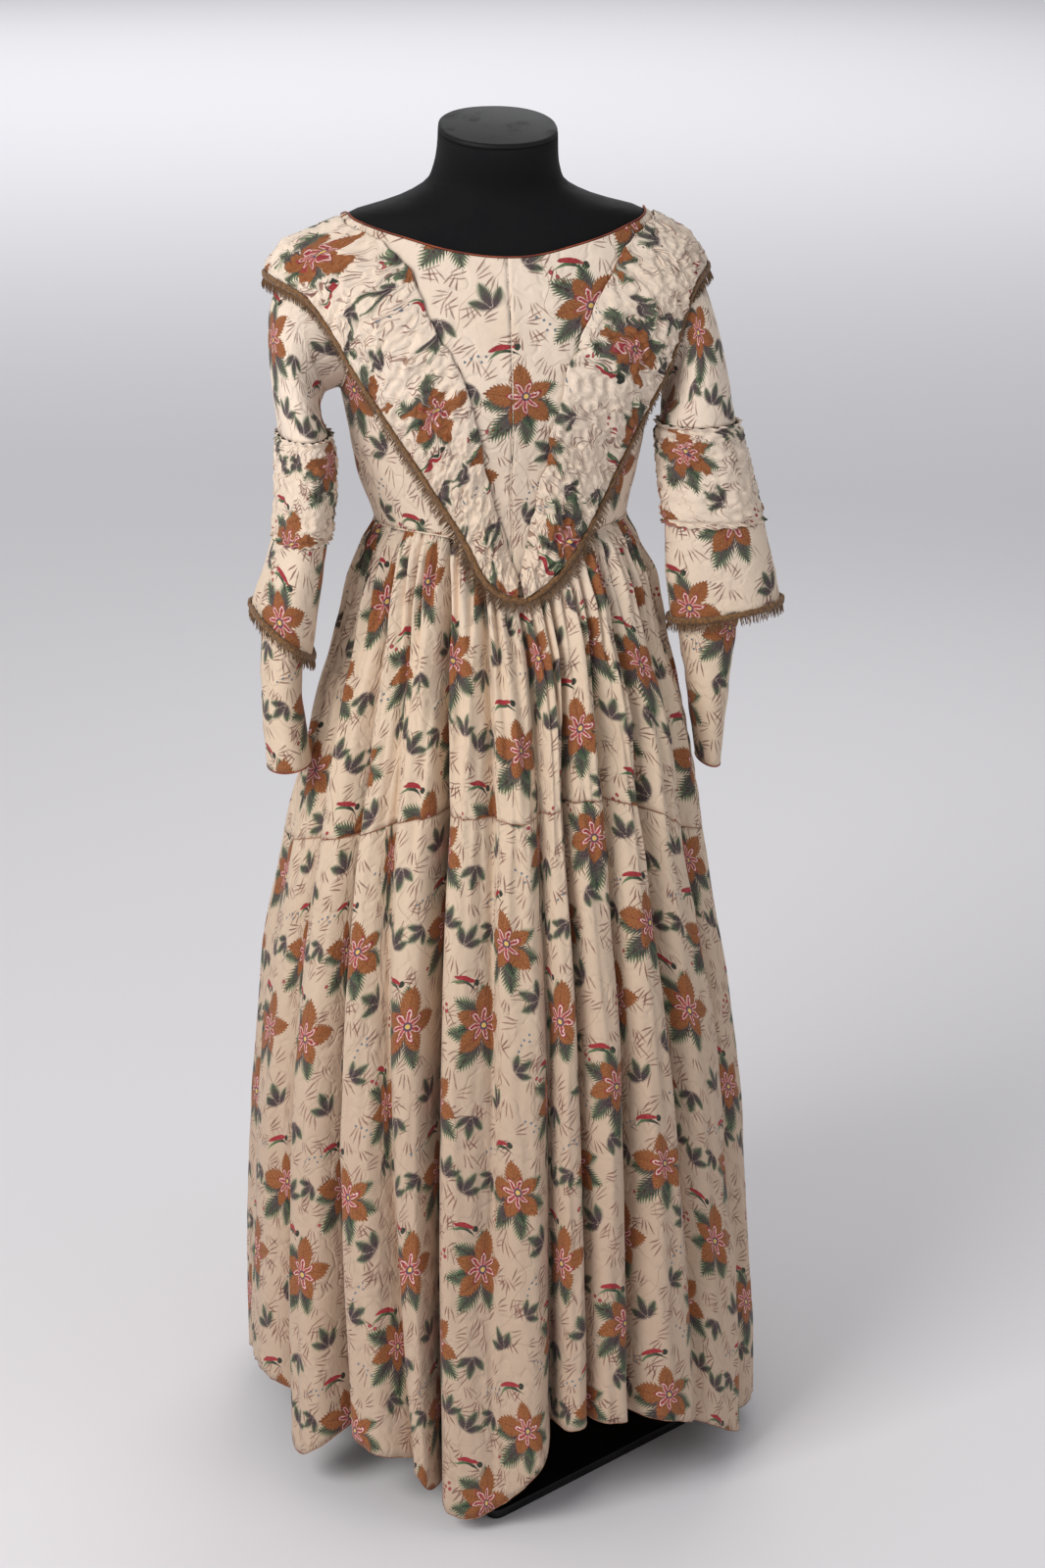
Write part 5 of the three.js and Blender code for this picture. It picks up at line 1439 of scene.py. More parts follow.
@dataclass
class Skirt:
    """Two-tier skirt, gathered at the waist, with a piped tier seam and a bound hem."""

    per_fold: int = 28
    shell: float = 0.9
    upper_rows: int = 58
    lower_rows: int = 84
    pipe: float = 0.5
    gather_deep: float = 13.0
    gather_reach: float = 150.0
    fold_power: float = 2.3
    fold_sharper: float = 0.025
    cord_sunk: float = 0.4
    tier_cord: float = 0.65
    hem_binding: float = 0.55
    centre_back: int = 16
    front: tuple[int, int] = (0, 12)

    def column(self, key: str) -> np.ndarray:
        """One column of the valleys, counted on past a whole turn."""
        values = column(VALLEYS + VALLEYS[:1], key)
        if key in ("waist", "seam", "hem"):
            values[-1] += 360
        return values

    def points(self, fold: np.ndarray, t: np.ndarray, level: np.ndarray) -> np.ndarray:
        """Outer points of the skirt.

        Args:
            fold: fold numbers.
            t: part of the way across each fold.
            level: 0 at the waist, 1 at the tier seam, 2 at the hem.

        Returns:
            Points, with x, y and z last.
        """
        fold, t, level = np.broadcast_arrays(fold, t, level)
        upper = level <= 1
        part = np.where(upper, level, level - 1)

        def across(key: str) -> np.ndarray:
            """Turn along one line of the table."""
            values = self.column(key)
            return mix(values[fold], values[fold + 1], t)

        def down(waist: np.ndarray, seam: np.ndarray, hem: np.ndarray) -> np.ndarray:
            """Value between the lines above and below."""
            return np.where(upper, mix(waist, seam, part), mix(seam, hem, part))

        turn = down(across("waist"), across("seam"), across("hem"))
        seam = seam_height(turn)
        z = down(waist_edge(turn), seam, hem_height(turn))

        def depth(index: np.ndarray) -> np.ndarray:
            """Depth of a valley at the level."""
            high, low = self.column("seam_deep")[index], self.column("hem_deep")[index]
            high, low = 1.35 * high + 4, 1.25 * low + 4
            grown = high * (1.4 - 0.4 * part) * np.maximum(part, 0.05) ** 0.6
            return np.where(upper, grown, mix(high, low, part))

        first, second = depth(fold), depth(fold + 1)
        power = self.fold_power + np.where(t < 0.5, first, second) * self.fold_sharper
        deep = mix(first, second, t) * np.abs(2 * t - 1) ** power
        below = smooth(BODICE_LINES, "turn", "waist", wrap_turn(turn)) - z
        snug = body_point(FIGURE, turn, z, FORM_EASE + BODICE_CLOTH + 0.3 + 5 * ease(below / 22))
        full = body_point(SKIRT_REACH, turn, z, 0)
        reach = mix(snug, full, ease(below / 70)[..., None])
        radius = np.hypot(reach[..., 0], reach[..., 1])
        scale = (radius - deep + self.creases(fold, t, turn, z, below, seam)) / radius
        return np.stack([reach[..., 0] * scale, reach[..., 1] * scale, z], -1)

    def creases(self, fold, t, turn, z, below, seam) -> np.ndarray:
        """Outward height of the waist gathers, the seam's puckers and the soft creases."""
        gathers = column(VALLEYS, "gathers")[fold % len(VALLEYS)]
        number = fold * 7 + np.floor(gathers * t)
        size = 0.75 + 0.5 * lattice(number, 0 * number, 2)
        wave = 1 - 2 * np.abs(np.cos(np.pi * gathers * t)) ** 2.6
        long = self.gather_reach * (0.8 + 0.9 * lattice(number, 0 * number, 5))
        fade = 1 - ease(below / long)
        swell = self.gather_deep / 2 * wave * size * fade * mix(0.25, 1, ease(below / 26))
        fine = 1.6 * np.cos(np.pi * 6 * gathers * t + 2 * noise(turn / 9, z / 60, 8))
        fine = fine * (1 - ease(below / 70)) * ease(below / 8)
        paired = 7.5 * noise(turn / 4.2, z / 300, 33) + 3.4 * ridges(turn / 3.1, z / 340, 36) - 1.2
        paired = paired * ease((below - 20) / 60) * mix(1, 0.35, ease((below - 190) / 170))
        under = np.clip(seam - z, 0, None)
        pucker = 1.5 * noise(turn / 2.6, z / 60, 12) * (1 - ease(under / 75))
        pucker = pucker * ease((below - 40) / 40)
        soft = 3.2 * noise(turn / 6.5, z / 190, 15) + 1.5 * noise(turn / 2.6 + z / 110, z / 90, 19)
        return swell + fine + paired + pucker + soft * ease(below / 90)

    def cloth(self, grid: np.ndarray, fold: np.ndarray, t: np.ndarray, down: np.ndarray,
              tier: int) -> np.ndarray:
        """Cloth map of a panel, which keeps the print whole on the crests.

        Args:
            grid: the panel's points.
            fold: fold number of each column.
            t: place of each column across its fold.
            down: part of the way down the tier of each row.
            tier: 0 upper, 1 lower.

        Returns:
            u and v in metres for each point.
        """
        steps = np.linalg.norm(np.diff(grid, axis=1), axis=-1)
        u = np.zeros(grid.shape[:2])
        start = 0.0
        for number in range(fold[0], fold[-1] + 1):
            spans = np.flatnonzero(fold[:-1] == number)
            own_length = steps[:, spans].sum(1)
            cut = own_length.max()
            share = (own_length / cut)[:, None]
            run = np.concatenate([np.zeros((len(grid), 1)), np.cumsum(steps[:, spans], 1)], 1)
            run /= run[:, -1:]
            place = np.append(t[spans], 1.0)
            place[0] = 0.0
            gathers = VALLEYS[number % len(VALLEYS)].gathers
            near = (1 - ease(down / 0.5))[:, None] * (tier == 0)
            hidden = mix(self.stairs(place, 1), self.stairs(place, gathers), near)
            laid = share * run + (1 - share) * hidden
            u[:, np.append(spans, spans[-1] + 1)] = start + cut * laid
            start += cut
        fall = np.linalg.norm(np.diff(grid, axis=0), axis=-1)
        v = np.concatenate([np.zeros((1, grid.shape[1])), -np.cumsum(fall, 0)])
        if tier == 0:
            v -= v[-1:]
        return np.stack([u, v], -1) * MM

    def stairs(self, place: np.ndarray, count: int) -> np.ndarray:
        """Share of the hidden cloth taken up so far: it lies in the valleys of count folds."""
        number = np.minimum(np.floor(place * count), count - 1)
        off = place * count - number - 0.5
        return (number + 0.5 + 0.5 * np.sign(off) * ease((np.abs(off) - 0.34) / 0.16)) / count

    def panel(self, name: str, folds: tuple[int, int], tier: int, shift: tuple,
              wardrobe: Wardrobe) -> None:
        """Builds one panel of a tier."""
        first, last = folds
        fold = np.repeat(np.arange(first, last), self.per_fold)
        t = np.tile(np.arange(self.per_fold) / self.per_fold, last - first)
        fold, t = np.append(fold, last - 1), np.append(t, 1.0)
        t[0], t[-1] = 0.002, 0.998
        rows = self.lower_rows if tier else self.upper_rows
        down = np.linspace(0, 1, rows) ** (1.15 if tier else 1.35)
        grid = self.points(fold[None, :], t[None, :], (tier + down)[:, None])
        grid[0, :, 2] -= self.pipe if tier else WAIST_DROP
        grid[-1, :, 2] += 0 if tier else self.pipe
        uv = self.cloth(grid, fold, t, down, tier) + np.array(shift)
        obj = cloth_sheet(name, grid, uv, self.shell, wardrobe.cotton)
        own(obj, "printed_cotton", name.replace("_cloth", ""))

    def edge(self, name: str, level: float, folds: tuple[int, int], radius: float,
             material: bpy.types.Material, slot: str, *nodes: str) -> None:
        """Builds a cord along a level of the skirt."""
        count = (folds[1] - folds[0]) * self.per_fold
        at = np.linspace(0.01, folds[1] - folds[0] - 0.01, count)
        line = self.points(folds[0] + np.floor(at).astype(int), at % 1, np.full(count, level))
        line -= unit(line * LEVEL) * self.cord_sunk
        own(cord(name, line, radius, material, False), slot, *nodes)

    def build(self, wardrobe: Wardrobe) -> None:
        """Builds the panels, pipings and hem binding."""
        (first, side), back = self.front, self.centre_back
        last = first + len(VALLEYS)
        for name, folds, tier, shift in (
            ("upper_front", (first, side), 0, (0.03, 0.06)),
            ("upper_back", (side, last), 0, (0.09, 0.02)),
            ("lower_front", (first, side), 1, (0.12, 0.0)),
            ("lower_back_right", (side, back), 1, (0.05, 0.04)),
            ("lower_back_left", (back, last), 1, (0.0, 0.09)),
        ):
            self.panel(f"skirt_{name}_cloth", folds, tier, shift, wardrobe)
        tape = wardrobe.tape
        for word, folds in (("front", (first, side)), ("back", (side, last))):
            node = f"skirt_piping_{word}"
            self.edge(f"tier_cord_{word}", 1, folds, self.tier_cord, tape, "piping", node)
            self.edge(f"hem_binding_{word}", 2, folds, self.hem_binding, tape, "piping")

    def radius(self, turn: np.ndarray, z: np.ndarray) -> np.ndarray:
        """The skirt's outer radius at a turn and height in the upper tier."""
        waist = self.column("waist")
        at = np.where(turn < waist[0], turn + 360, turn)
        fold = np.clip(np.searchsorted(waist, at, side="right") - 1, 0, len(VALLEYS) - 1)
        t = (at - waist[fold]) / (waist[fold + 1] - waist[fold])
        top = smooth(BODICE_LINES, "turn", "waist", wrap_turn(turn))
        level = np.clip((top - z) / (top - seam_height(turn)), 0, 1)
        point = self.points(fold, t, level)
        return np.hypot(point[..., 0], point[..., 1])


@dataclass
class Sleeve:
    """One sleeve: head, puckered ring with frilled edges, fringed bell and long lower sleeve."""

    word: str
    side: int
    upper: tuple
    puckered: tuple
    bell: tuple
    lower: tuple
    around: int = 88
    shell: float = 0.8
    head_free: float = 28.0
    head_fade: float = 22.0
    head_clear: float = 3.7
    pucker: float = 5.0
    head_rows: int = 56
    puckered_rows: int = 64
    bell_rows: int = 40
    lower_rows: int = 60
    puckered_long: float = 103.0
    puckered_girth: float = 300.0
    frills: int = 22
    wrist_cord: float = 0.9

    def ring(self, table: tuple, at: np.ndarray, angle: np.ndarray, out) -> np.ndarray:
        """Points of the sleeve's sections, moved out."""
        keys = np.arange(len(table), dtype=float)
        over_x, over_z, under_x, under_z, y, deep = (
            smooth_line(keys, column(table, key), at)[:, None]
            for key in ("over_x", "over_z", "under_x", "under_z", "y", "deep"))
        over = np.stack([over_x, 0 * over_x, over_z], -1)
        under = np.stack([under_x, 0 * under_x, under_z], -1)
        half = np.linalg.norm(over - under, axis=-1) / 2 + out
        point = (over + under) / 2 + unit(over - under) * (half * np.cos(angle))[..., None]
        y = np.broadcast_to(y + (deep + out) * np.sin(angle), point.shape[:2])
        return np.stack([self.side * point[..., 0], y, point[..., 2]], -1)

    def tube(self, table: tuple, rows: int) -> np.ndarray:
        """Rings of a part of the sleeve at the cloth's outer side."""
        at = np.linspace(0, len(table) - 1, rows)
        return self.ring(table, at, self.angles()[None, :], SLEEVE_CLOTH)

    def angles(self) -> np.ndarray:
        """Angles round the sleeve, from the underside on."""
        return np.pi + np.linspace(0, 2 * np.pi, self.around, endpoint=False)

    def tuck_under(self, point: np.ndarray, out: float) -> np.ndarray:
        """Pulls points of the sleeve head inside the surface that the band lies on."""
        x, y, z = point[..., 0], point[..., 1], point[..., 2]
        depth = body_depth(OVERLAY, z, y < 0) - self.head_clear + out
        wide = smooth(OVERLAY, "z", "wide", z) - self.head_clear + out
        shift = smooth(OVERLAY, "z", "shift", z)
        half = SECTION_POWER / 2
        aside, ahead = (np.abs(x - shift) / wide) ** half, signed_power(-y / depth, half)
        turn = np.degrees(np.arctan2(aside, ahead))
        need = ease((z - smooth(BAND, "outer", "outer_z", turn) + self.head_free) / self.head_fade)
        size = (np.abs(x - shift) / wide) ** SECTION_POWER + (np.abs(y) / depth) ** SECTION_POWER
        pull = np.where(size > 1, mix(1, np.maximum(size, 1) ** (-1 / SECTION_POWER), need), 1)
        return np.stack([shift + (x - shift) * pull, y * pull, z], -1)

    def finish(self, name: str, node: str, grid: np.ndarray, offset: tuple, wardrobe: Wardrobe,
               fuller: float) -> None:
        """Makes a tube of cloth from its rings."""
        uv = arc_map(grid, True, (0, 0)) * fuller + np.array(offset)
        if self.side < 0:
            uv[..., 0] *= -1
        flip = self.side < 0
        obj = cloth_sheet(name, grid, uv, self.shell, wardrobe.cotton, closed=True, flip=flip)
        own(obj, "printed_cotton", node)

    def wrinkles(self, grid: np.ndarray, rise: float, seed: float) -> np.ndarray:
        """Soft slanting wrinkles round a sleeve."""
        y, z = grid[..., 1], grid[..., 2]
        small = noise((z - 0.5 * y) / 13, y / 34, seed + 4)
        return rise * (noise((z + 0.7 * y) / 26, y / 60, seed) + 0.5 * small)

    def head(self, bodice: Bodice) -> np.ndarray:
        """Head and upper sleeve, tucked under the band."""
        armhole = bodice.armhole(self.side, self.angles()[None, :], SLEEVE_CLOTH)
        head = resample(np.concatenate([armhole, self.tube(self.upper, 6)]), self.head_rows)
        t = np.linspace(0, 1, self.head_rows)[:, None]
        calm = ease(np.minimum(t, 1 - t) * 8) * ease((1150 - head[..., 2]) / 40)
        head = self.pushed(head, self.wrinkles(head, 1.3, 70) * calm)
        head[1:] = self.tuck_under(head[1:], SLEEVE_CLOTH)
        return head

    def puckers(self) -> np.ndarray:
        """Puckered ring between two frilled edges."""
        rows, girth = self.puckered_rows, self.puckered_girth
        t = np.linspace(0, 1, rows)[:, None]
        long = self.puckered_long * t
        wide = np.linspace(0, girth, self.around, endpoint=False)[None, :]
        spread = np.broadcast_to(t, (rows, self.around))
        shape = PuckeredBands().relief(wide + 0 * long, long + 0 * wide, spread, 31 + self.side)
        edge = np.minimum(t, 1 - t)
        swing = wide / girth * 2 * np.pi * self.frills + 2 * noise(wide / 20, 0 * wide, 9)
        frill = (0.5 + 0.5 * np.sin(swing)) * self.pucker * (1 - ease(edge / 0.055))
        relief = 0.3 + mix(frill, self.pucker * shape, ease((edge - 0.045) / 0.03))
        ring = self.pushed(self.tube(self.puckered, rows), relief)
        ring[..., 2] += 1.6 * noise(wide / 9, 0 * long, 64) * (1 - ease(edge / 0.05))
        return ring

    def flare(self) -> np.ndarray:
        """Bell with a waved hem."""
        rows = self.tube(self.bell, self.bell_rows)
        t = np.linspace(0, 1, self.bell_rows)[:, None]
        wave = 1.1 * np.sin(self.angles() * 5 + 1) * t + self.wrinkles(rows, 0.9, 80) * ease(t * 5)
        return self.pushed(rows, wave * (1 - ease((t - 0.9) * 10) * 0.5))

    def forearm(self) -> np.ndarray:
        """Long close sleeve under the bell."""
        rows = self.tube(self.lower, self.lower_rows)
        t = np.linspace(0, 1, self.lower_rows)[:, None]
        quiet = ease(np.minimum(t - 0.12, 1 - t) * 7)
        return self.pushed(rows, self.wrinkles(rows, 1.0, 90) * quiet)

    def build(self, bodice: Bodice, wardrobe: Wardrobe) -> None:
        """Builds the sleeve's four pieces and its wrist piping."""
        forearm = self.forearm()
        for piece, node, rings, offset, fuller in (
            ("head", "upper", self.head(bodice), (0.05, 0.12), 1.0),
            ("puckers", "puckered", self.puckers(), (0.02, 0.04), 1.05),
            ("bell_cloth", "bell", self.flare(), (0.09, 0.2), 1.0),
            ("lower_cloth", "lower", forearm, (0.0, 0.07), 1.0),
        ):
            name, node = f"sleeve_{piece}_{self.word}", f"sleeve_{node}_{self.word}"
            self.finish(name, node, rings, offset, wardrobe, fuller)
        wrist = self.pushed(forearm[-1:], np.full((1, self.around), -0.4))[0] + UP * SEAM_GAP
        name = f"wrist_cord_{self.word}"
        own(cord(name, wrist, self.wrist_cord, wardrobe.piping, True), "piping")

    def pushed(self, rings: np.ndarray, rise: np.ndarray) -> np.ndarray:
        """Rings moved out from their middles by a height."""
        middle = rings.mean(1, keepdims=True)
        out = (rings - middle) * LEVEL
        out /= np.maximum(np.linalg.norm(out, axis=-1, keepdims=True), 1e-6)
        return rings + out * np.asarray(rise)[..., None]


@dataclass
class Fringe:
    """Twisted braid with a hanging silk fringe, on the bands' outer edges and the bells' hems."""

    spacing: float = 0.95
    strand: float = 11.5
    radius: float = 0.55
    segments: int = 5
    off: float = 1.6
    ends: float = 0.002
    point: float = 2.7
    braid_gap: float = 0.9
    braid_sides: int = 10
    braid_thick: float = 1.9
    braid_wide: float = 3.3
    strand_sides: int = 3
    outwards: float = 0.62
    downwards: float = 0.45
    stray: float = 0.3

    def evenly(self, path: np.ndarray, gap: float) -> np.ndarray:
        """Parts of a path at even gaps."""
        length = run_along(path)
        count = int(length[-1] / gap)
        return np.interp(np.linspace(0, length[-1], count), length, np.linspace(0, 1, len(path)))

    def strands(self, lines: np.ndarray) -> tuple[np.ndarray, ...]:
        """Points, faces and cloth maps of the strands round their middle lines, n by m by 3."""
        along = unit(np.gradient(lines, axis=1))
        side = unit(np.cross(along, [0.31, 0.87, 0.24]))
        n, m = lines.shape[:2]
        taper = np.interp(np.linspace(0, 1, m), [0, 0.6, 1], [1, 0.9, 0.45])[:, None] * self.radius
        other = np.cross(along, side) * taper
        rings = round_the_line(lines, side * taper, other, self.strand_sides)
        row, corner, faces = ring_faces(m, self.strand_sides)
        number = np.arange(n)[:, None, None]
        faces = faces + number * m * self.strand_sides
        across, drop = corner * 0.7 + number[..., None] * 0.9, row * self.strand / (m - 1)
        loops = np.stack(np.broadcast_arrays(across, drop), -1) * MM
        return rings.reshape(-1, 3), faces.reshape(-1, 4), loops.reshape(-1, 4, 2)

    def braid(self, line: np.ndarray, outs: np.ndarray) -> tuple[np.ndarray, ...]:
        """Points, faces and cloth map of the twisted braid along a line."""
        angle = 2 * np.pi * np.arange(self.braid_sides) / self.braid_sides
        run = np.cumsum(np.linalg.norm(np.diff(line, axis=0, prepend=line[:1]), axis=-1))[:, None]
        uneven = 0.3 * noise(run / 5 + 0 * angle, angle + 0 * run, 6)
        twist = (1 + 0.24 * np.cos(2 * (angle - run * 1.5)) + uneven)[..., None]
        rise = unit(np.cross(np.gradient(line, axis=0), outs))
        thick, wide = outs * self.braid_thick, rise * self.braid_wide
        rings = round_the_line(line, thick, wide, self.braid_sides)
        rings = line[:, None] + (rings - line[:, None]) * twist
        row, corner, faces = ring_faces(len(line), self.braid_sides)
        loops = np.stack([corner * 1.1, run[row, 0]], -1) * MM
        return rings.reshape(-1, 3), faces, loops.reshape(-1, 4, 2)

    def tufts(self, name: str, node: str, lines: np.ndarray, line: np.ndarray, outs: np.ndarray,
              wardrobe: Wardrobe) -> None:
        """Builds the strands and the braid as one piece.

        Args:
            name: piece name.
            node: the solid that the piece stands for.
            lines: middle line of each strand, n by m by 3.
            line: the braid's middle line.
            outs: outward direction at each point of the braid.
            wardrobe: the finishes.
        """
        points, faces, loops = self.strands(lines)
        more, quads, maps = self.braid(line, outs)
        faces, loops = np.concatenate([faces, quads + len(points)]), np.concatenate([loops, maps])
        mesh = mesh_of(name, np.concatenate([points, more]), faces, loops)
        obj = linked(name, mesh, wardrobe.braid)
        cap_ends(mesh)
        face_outwards(mesh)
        own(obj, "braid", node)

    def clear(self, skirt: Skirt, turn: np.ndarray, z: np.ndarray) -> np.ndarray:
        """Radius at which the fringe is clear of what is under it."""
        over = body_point(OVERLAY, turn, z, 1.0)
        edge = smooth(BODICE_LINES, "turn", "waist", wrap_turn(turn))
        below = np.where(z < edge + 1, skirt.radius(turn, np.minimum(z, edge)) + 1.2, 0)
        return np.maximum(np.hypot(over[..., 0], over[..., 1]), below)

    def on_band(self, side: int, bands: PuckeredBands, skirt: Skirt, wardrobe: Wardrobe) -> None:
        """Fringe on one band's outer edge."""
        word = "left" if side < 0 else "right"

        def edge(part: np.ndarray) -> tuple:
            """Turn and height on the fringed edge."""
            turn, z = bands.place(mix(self.ends, 1 - self.ends, part), 1.0, side)
            return mix(self.point, turn, np.minimum(part / 0.01, 1)), z - self.off

        def lift(turn: np.ndarray, z: np.ndarray, more) -> np.ndarray:
            """Point over what lies below it."""
            out = unit(body_point(OVERLAY, turn, z, 0.0) * LEVEL)
            return out * (self.clear(skirt, turn, z) + more)[..., None] + UP * z[..., None]

        path = lift(*edge(np.linspace(0, 1, 600)), 0.0)
        turn, z = edge(self.evenly(path, self.braid_gap))
        spine = lift(turn, z - 1.6, 2.6)

        part = self.evenly(path, self.spacing)
        count = np.arange(len(part))
        turn, z = edge(part)
        ahead_turn, ahead_z = edge(np.minimum(part + 0.002, 1))
        back_turn, back_z = edge(np.maximum(part - 0.002, 0))
        radius = self.clear(skirt, turn, z)
        arc = np.radians(ahead_turn - back_turn) * radius
        rise = ahead_z - back_z
        away = unit(np.stack([-rise, arc], -1))
        away *= np.sign(-away[:, 1:2] + 1e-9)
        down = np.array([0, -1.0]) * self.downwards
        toss = count_noise(count, 1.3, 4)
        heading = unit(self.outwards * away + down + self.stray * toss[:, :2])
        length = self.strand * (0.92 + 0.36 * toss[:, 2])
        t = np.linspace(0, 1, self.segments)
        bend = toss[:, 3:4] * 3.5 * t ** 2
        sideways = np.stack([heading[:, 1], -heading[:, 0]], -1)
        travel = heading[:, None] * (length[:, None] * t)[..., None]
        travel = travel + sideways[:, None] * bend[..., None]
        line_turn = turn[:, None] + np.degrees(travel[..., 0] / radius[:, None])
        line_z = z[:, None] - 3.0 + travel[..., 1]
        lines = lift(line_turn, line_z, 1.4 + (0.6 + 2.4 * (toss[:, 0:1] + 0.5)) * t)
        self.tufts(f"band_silk_fringe_{word}", f"band_fringe_{word}", lines, spine,
                   unit(spine * LEVEL), wardrobe)

    def on_bell(self, sleeve: Sleeve, wardrobe: Wardrobe) -> None:
        """Fringe on one bell's hem."""
        def spot(part: np.ndarray) -> tuple:
            """Point and outward direction on the bell's hem."""
            angle = 2 * np.pi * mix(0.01, 0.99, part)
            last = np.array([len(sleeve.bell) - 1.0])
            point, inner = (sleeve.ring(sleeve.bell, last, angle[None, :], out)[0]
                            for out in (SLEEVE_CLOTH + 1.0, 0.0))
            return point, unit((point - inner) * LEVEL)

        path, _ = spot(np.linspace(0, 1, 400))
        point, outs = spot(self.evenly(path, self.braid_gap))
        spine = point + outs * 1.2 + UP * 1.2
        point, out = spot(self.evenly(path, self.spacing))
        toss = count_noise(np.arange(len(point)), 5.3, 4)
        length = self.strand * (0.92 + 0.3 * toss[:, 2])
        t = np.linspace(0, 1, self.segments)
        side = np.cross(out, UP)
        lines = point[:, None] - UP * (length[:, None] * t)[..., None]
        lines = lines + out[:, None] * (0.5 + (0.3 + 2.2 * (toss[:, 0:1] + 0.5)) * t)[..., None]
        sway = 4.5 * toss[:, 1:2] * t + 2.5 * toss[:, 3:4] * t ** 2
        lines = lines + side[:, None] * sway[..., None]
        self.tufts(f"bell_silk_fringe_{sleeve.word}", f"bell_fringe_{sleeve.word}", lines, spine,
                   outs, wardrobe)


def sleeves() -> tuple[Sleeve, Sleeve]:
    """The two sleeves with their own sections."""
    left = Sleeve(
        "left", -1,
        table(Cuff,
              (202, 1252, 171, 1126, -6, 52), (222, 1216, 178, 1117, -14, 52),
              (227, 1165, 178, 1106, -26, 53), (220, 1090, 175, 1090, -37, 54)),
        table(Cuff,
              (220, 1089.7, 173, 1089.7, -37, 54), (221, 1060, 170, 1060, -39, 56),
              (222, 1020, 172, 1020, -40, 56), (227, 987, 176, 987, -41, 56)),
        table(Cuff,
              (228, 986.7, 177, 986.7, -41, 56), (239, 950, 184, 940, -42, 58),
              (251, 916, 195, 868, -44, 61)),
        table(Cuff,
              (226, 984, 179.4, 984, -41, 54), (226, 962, 187, 962, -42, 47),
              (240, 900, 199, 900, -43, 40), (244, 830, 206, 830, -44, 36),
              (240, 751, 198, 757, -45, 36)),
    )
    right = Sleeve(
        "right", 1,
        table(Cuff,
              (196, 1252, 168, 1126, -6, 52), (208, 1216, 169, 1115, -14, 51),
              (221, 1165, 165, 1103, -26, 48), (234, 1090, 161, 1090, -37, 42)),
        table(Cuff,
              (236, 1089.7, 160, 1089.7, -37, 42), (243, 1060, 160, 1060, -39, 39),
              (254, 1020, 164, 1020, -40, 36), (264, 987, 167, 987, -41, 34)),
        table(Cuff,
              (265, 986.7, 167, 986.7, -41, 34), (275, 944, 168, 942, -42, 33),
              (284, 903, 173, 887, -43, 33)),
        table(Cuff,
              (263.2, 984, 168.8, 984, -41, 32.2), (248, 960, 172, 960, -42, 28),
              (242, 900, 178, 900, -42, 26), (233, 830, 189, 830, -43, 28),
              (223, 736, 203, 738, -44, 30)),
    )
    return left, right


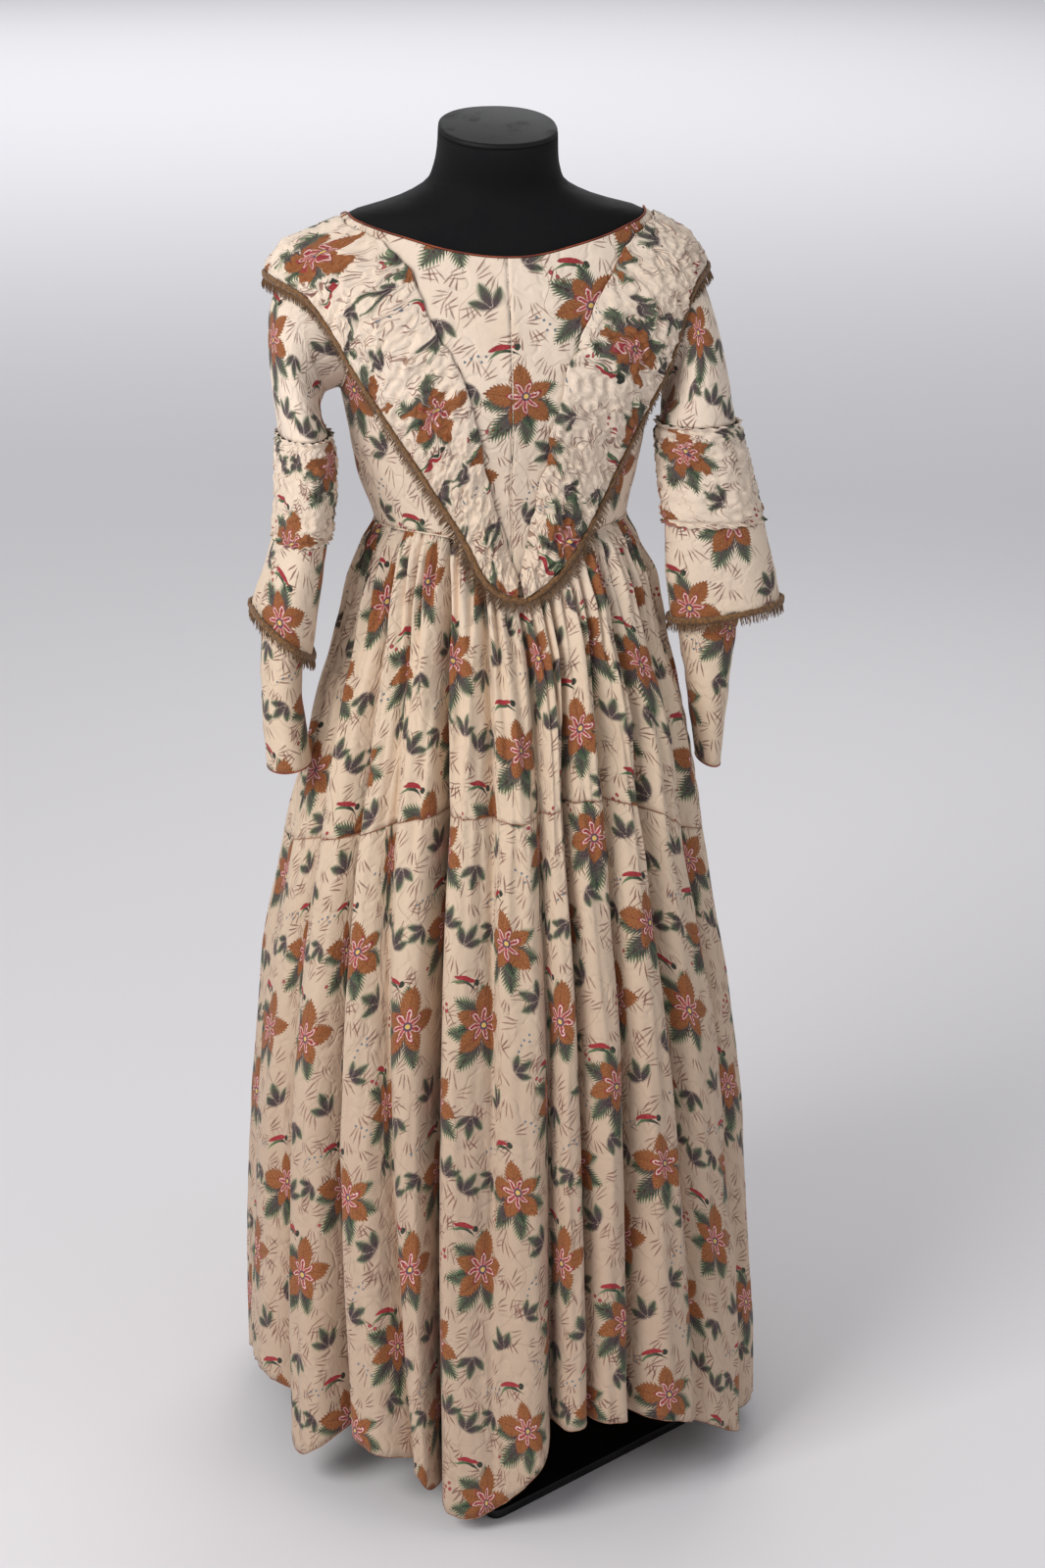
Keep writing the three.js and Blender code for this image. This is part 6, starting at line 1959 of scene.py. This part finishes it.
# ------------------------------------------------------------------ studio
@dataclass
class Studio:
    """Pale floor, soft lights and the camera."""

    azimuth: float = -9.0
    distance: float = 3.10
    height: float = 1.71
    aside: float = 0.0262
    pitch: float = 17.96
    lens: float = 72.0
    floor_size: float = 80.0

    def floor(self, material: bpy.types.Material) -> None:
        """One large floor that also fills the background."""
        mesh = bpy.data.meshes.new("floor")
        half = self.floor_size / 2
        corners = [(-half, -half, 0), (half, -half, 0), (half, half, 0), (-half, half, 0)]
        mesh.from_pydata(corners, [], [(0, 1, 2, 3)])
        mesh.materials.append(material)
        floor = bpy.data.objects.new("studio_floor", mesh)
        bpy.context.scene.collection.objects.link(floor)
        floor.location.z = -0.0005

    def camera(self) -> None:
        """Camera in front of the dress, turned a little and looking down."""
        turn = math.radians(self.azimuth)
        right = Vector((math.cos(turn), math.sin(turn), 0))
        back = Vector((math.sin(turn), -math.cos(turn), 0))
        data = bpy.data.cameras.new("camera")
        data.lens = self.lens
        data.sensor_fit = "VERTICAL"
        data.sensor_height = 36.0
        data.clip_end = 200.0
        camera = bpy.data.objects.new("camera", data)
        bpy.context.scene.collection.objects.link(camera)
        camera.location = back * self.distance + Vector((0, 0, self.height)) + right * self.aside
        camera.rotation_euler = (math.radians(90 - self.pitch), 0, turn)
        bpy.context.scene.camera = camera

    def light(self, name: str, place: tuple, target: tuple, size: float, power: float,
              colour: tuple) -> None:
        """One soft square lamp aimed at a point."""
        data = bpy.data.lights.new(name, "AREA")
        data.size = size
        data.energy = power
        data.color = colour
        lamp = bpy.data.objects.new(name, data)
        bpy.context.scene.collection.objects.link(lamp)
        lamp.location = place
        lamp.rotation_euler = (Vector(target) - Vector(place)).to_track_quat("-Z", "Y").to_euler()

    def world(self, colour: tuple, strength: float) -> None:
        """Even light from all round."""
        world = bpy.data.worlds.new("studio air")
        world.use_nodes = True
        background = world.node_tree.nodes["Background"]
        background.inputs["Color"].default_value = colour
        background.inputs["Strength"].default_value = strength
        bpy.context.scene.world = world

    def build(self) -> None:
        """Sets up the whole studio."""
        self.floor(StudioFloor().make())
        self.camera()
        self.world((0.96, 0.97, 1.0, 1.0), 0.40)
        self.light("key softbox", (-2.2, -1.9, 2.6), (0, 0, 1.0), 1.7, 80, (1.0, 0.98, 0.96))
        self.light("fill softbox", (2.9, -1.9, 1.9), (0, 0, 0.9), 2.0, 11, (0.95, 0.97, 1.0))
        self.light("back softbox", (1.0, 2.6, 2.8), (0, 0, 1.0), 1.8, 20, (1.0, 1.0, 1.0))
        self.light("far wash", (0, 15, 6), (0, 15.01, 0), 14, 690, (0.97, 0.98, 1.0))
        bpy.context.scene.view_settings.view_transform = "Standard"


def plain(box: tuple) -> list:
    """Corners of a box as plain lists."""
    return [[float(value) for value in corner] for corner in box]


def main() -> None:
    """Dresses the frame."""
    logging.basicConfig(level=logging.INFO, format="%(message)s")
    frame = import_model()
    wardrobe = Wardrobe()
    Studio().build()
    DressForm().build(wardrobe)
    Stand().build(wardrobe, frame)
    bodice, bands, skirt, fringe = Bodice(), PuckeredBands(), Skirt(), Fringe()
    bodice.build(wardrobe)
    bands.build(wardrobe)
    skirt.build(wardrobe)
    for sleeve in sleeves():
        sleeve.build(bodice, wardrobe)
        fringe.on_bell(sleeve, wardrobe)
    for side in (-1, 1):
        fringe.on_band(side, bands, skirt, wardrobe)
    for sheet in sheets():
        sheet.declare()
    bpy.context.view_layer.update()


if __name__ == "__main__":
    main()
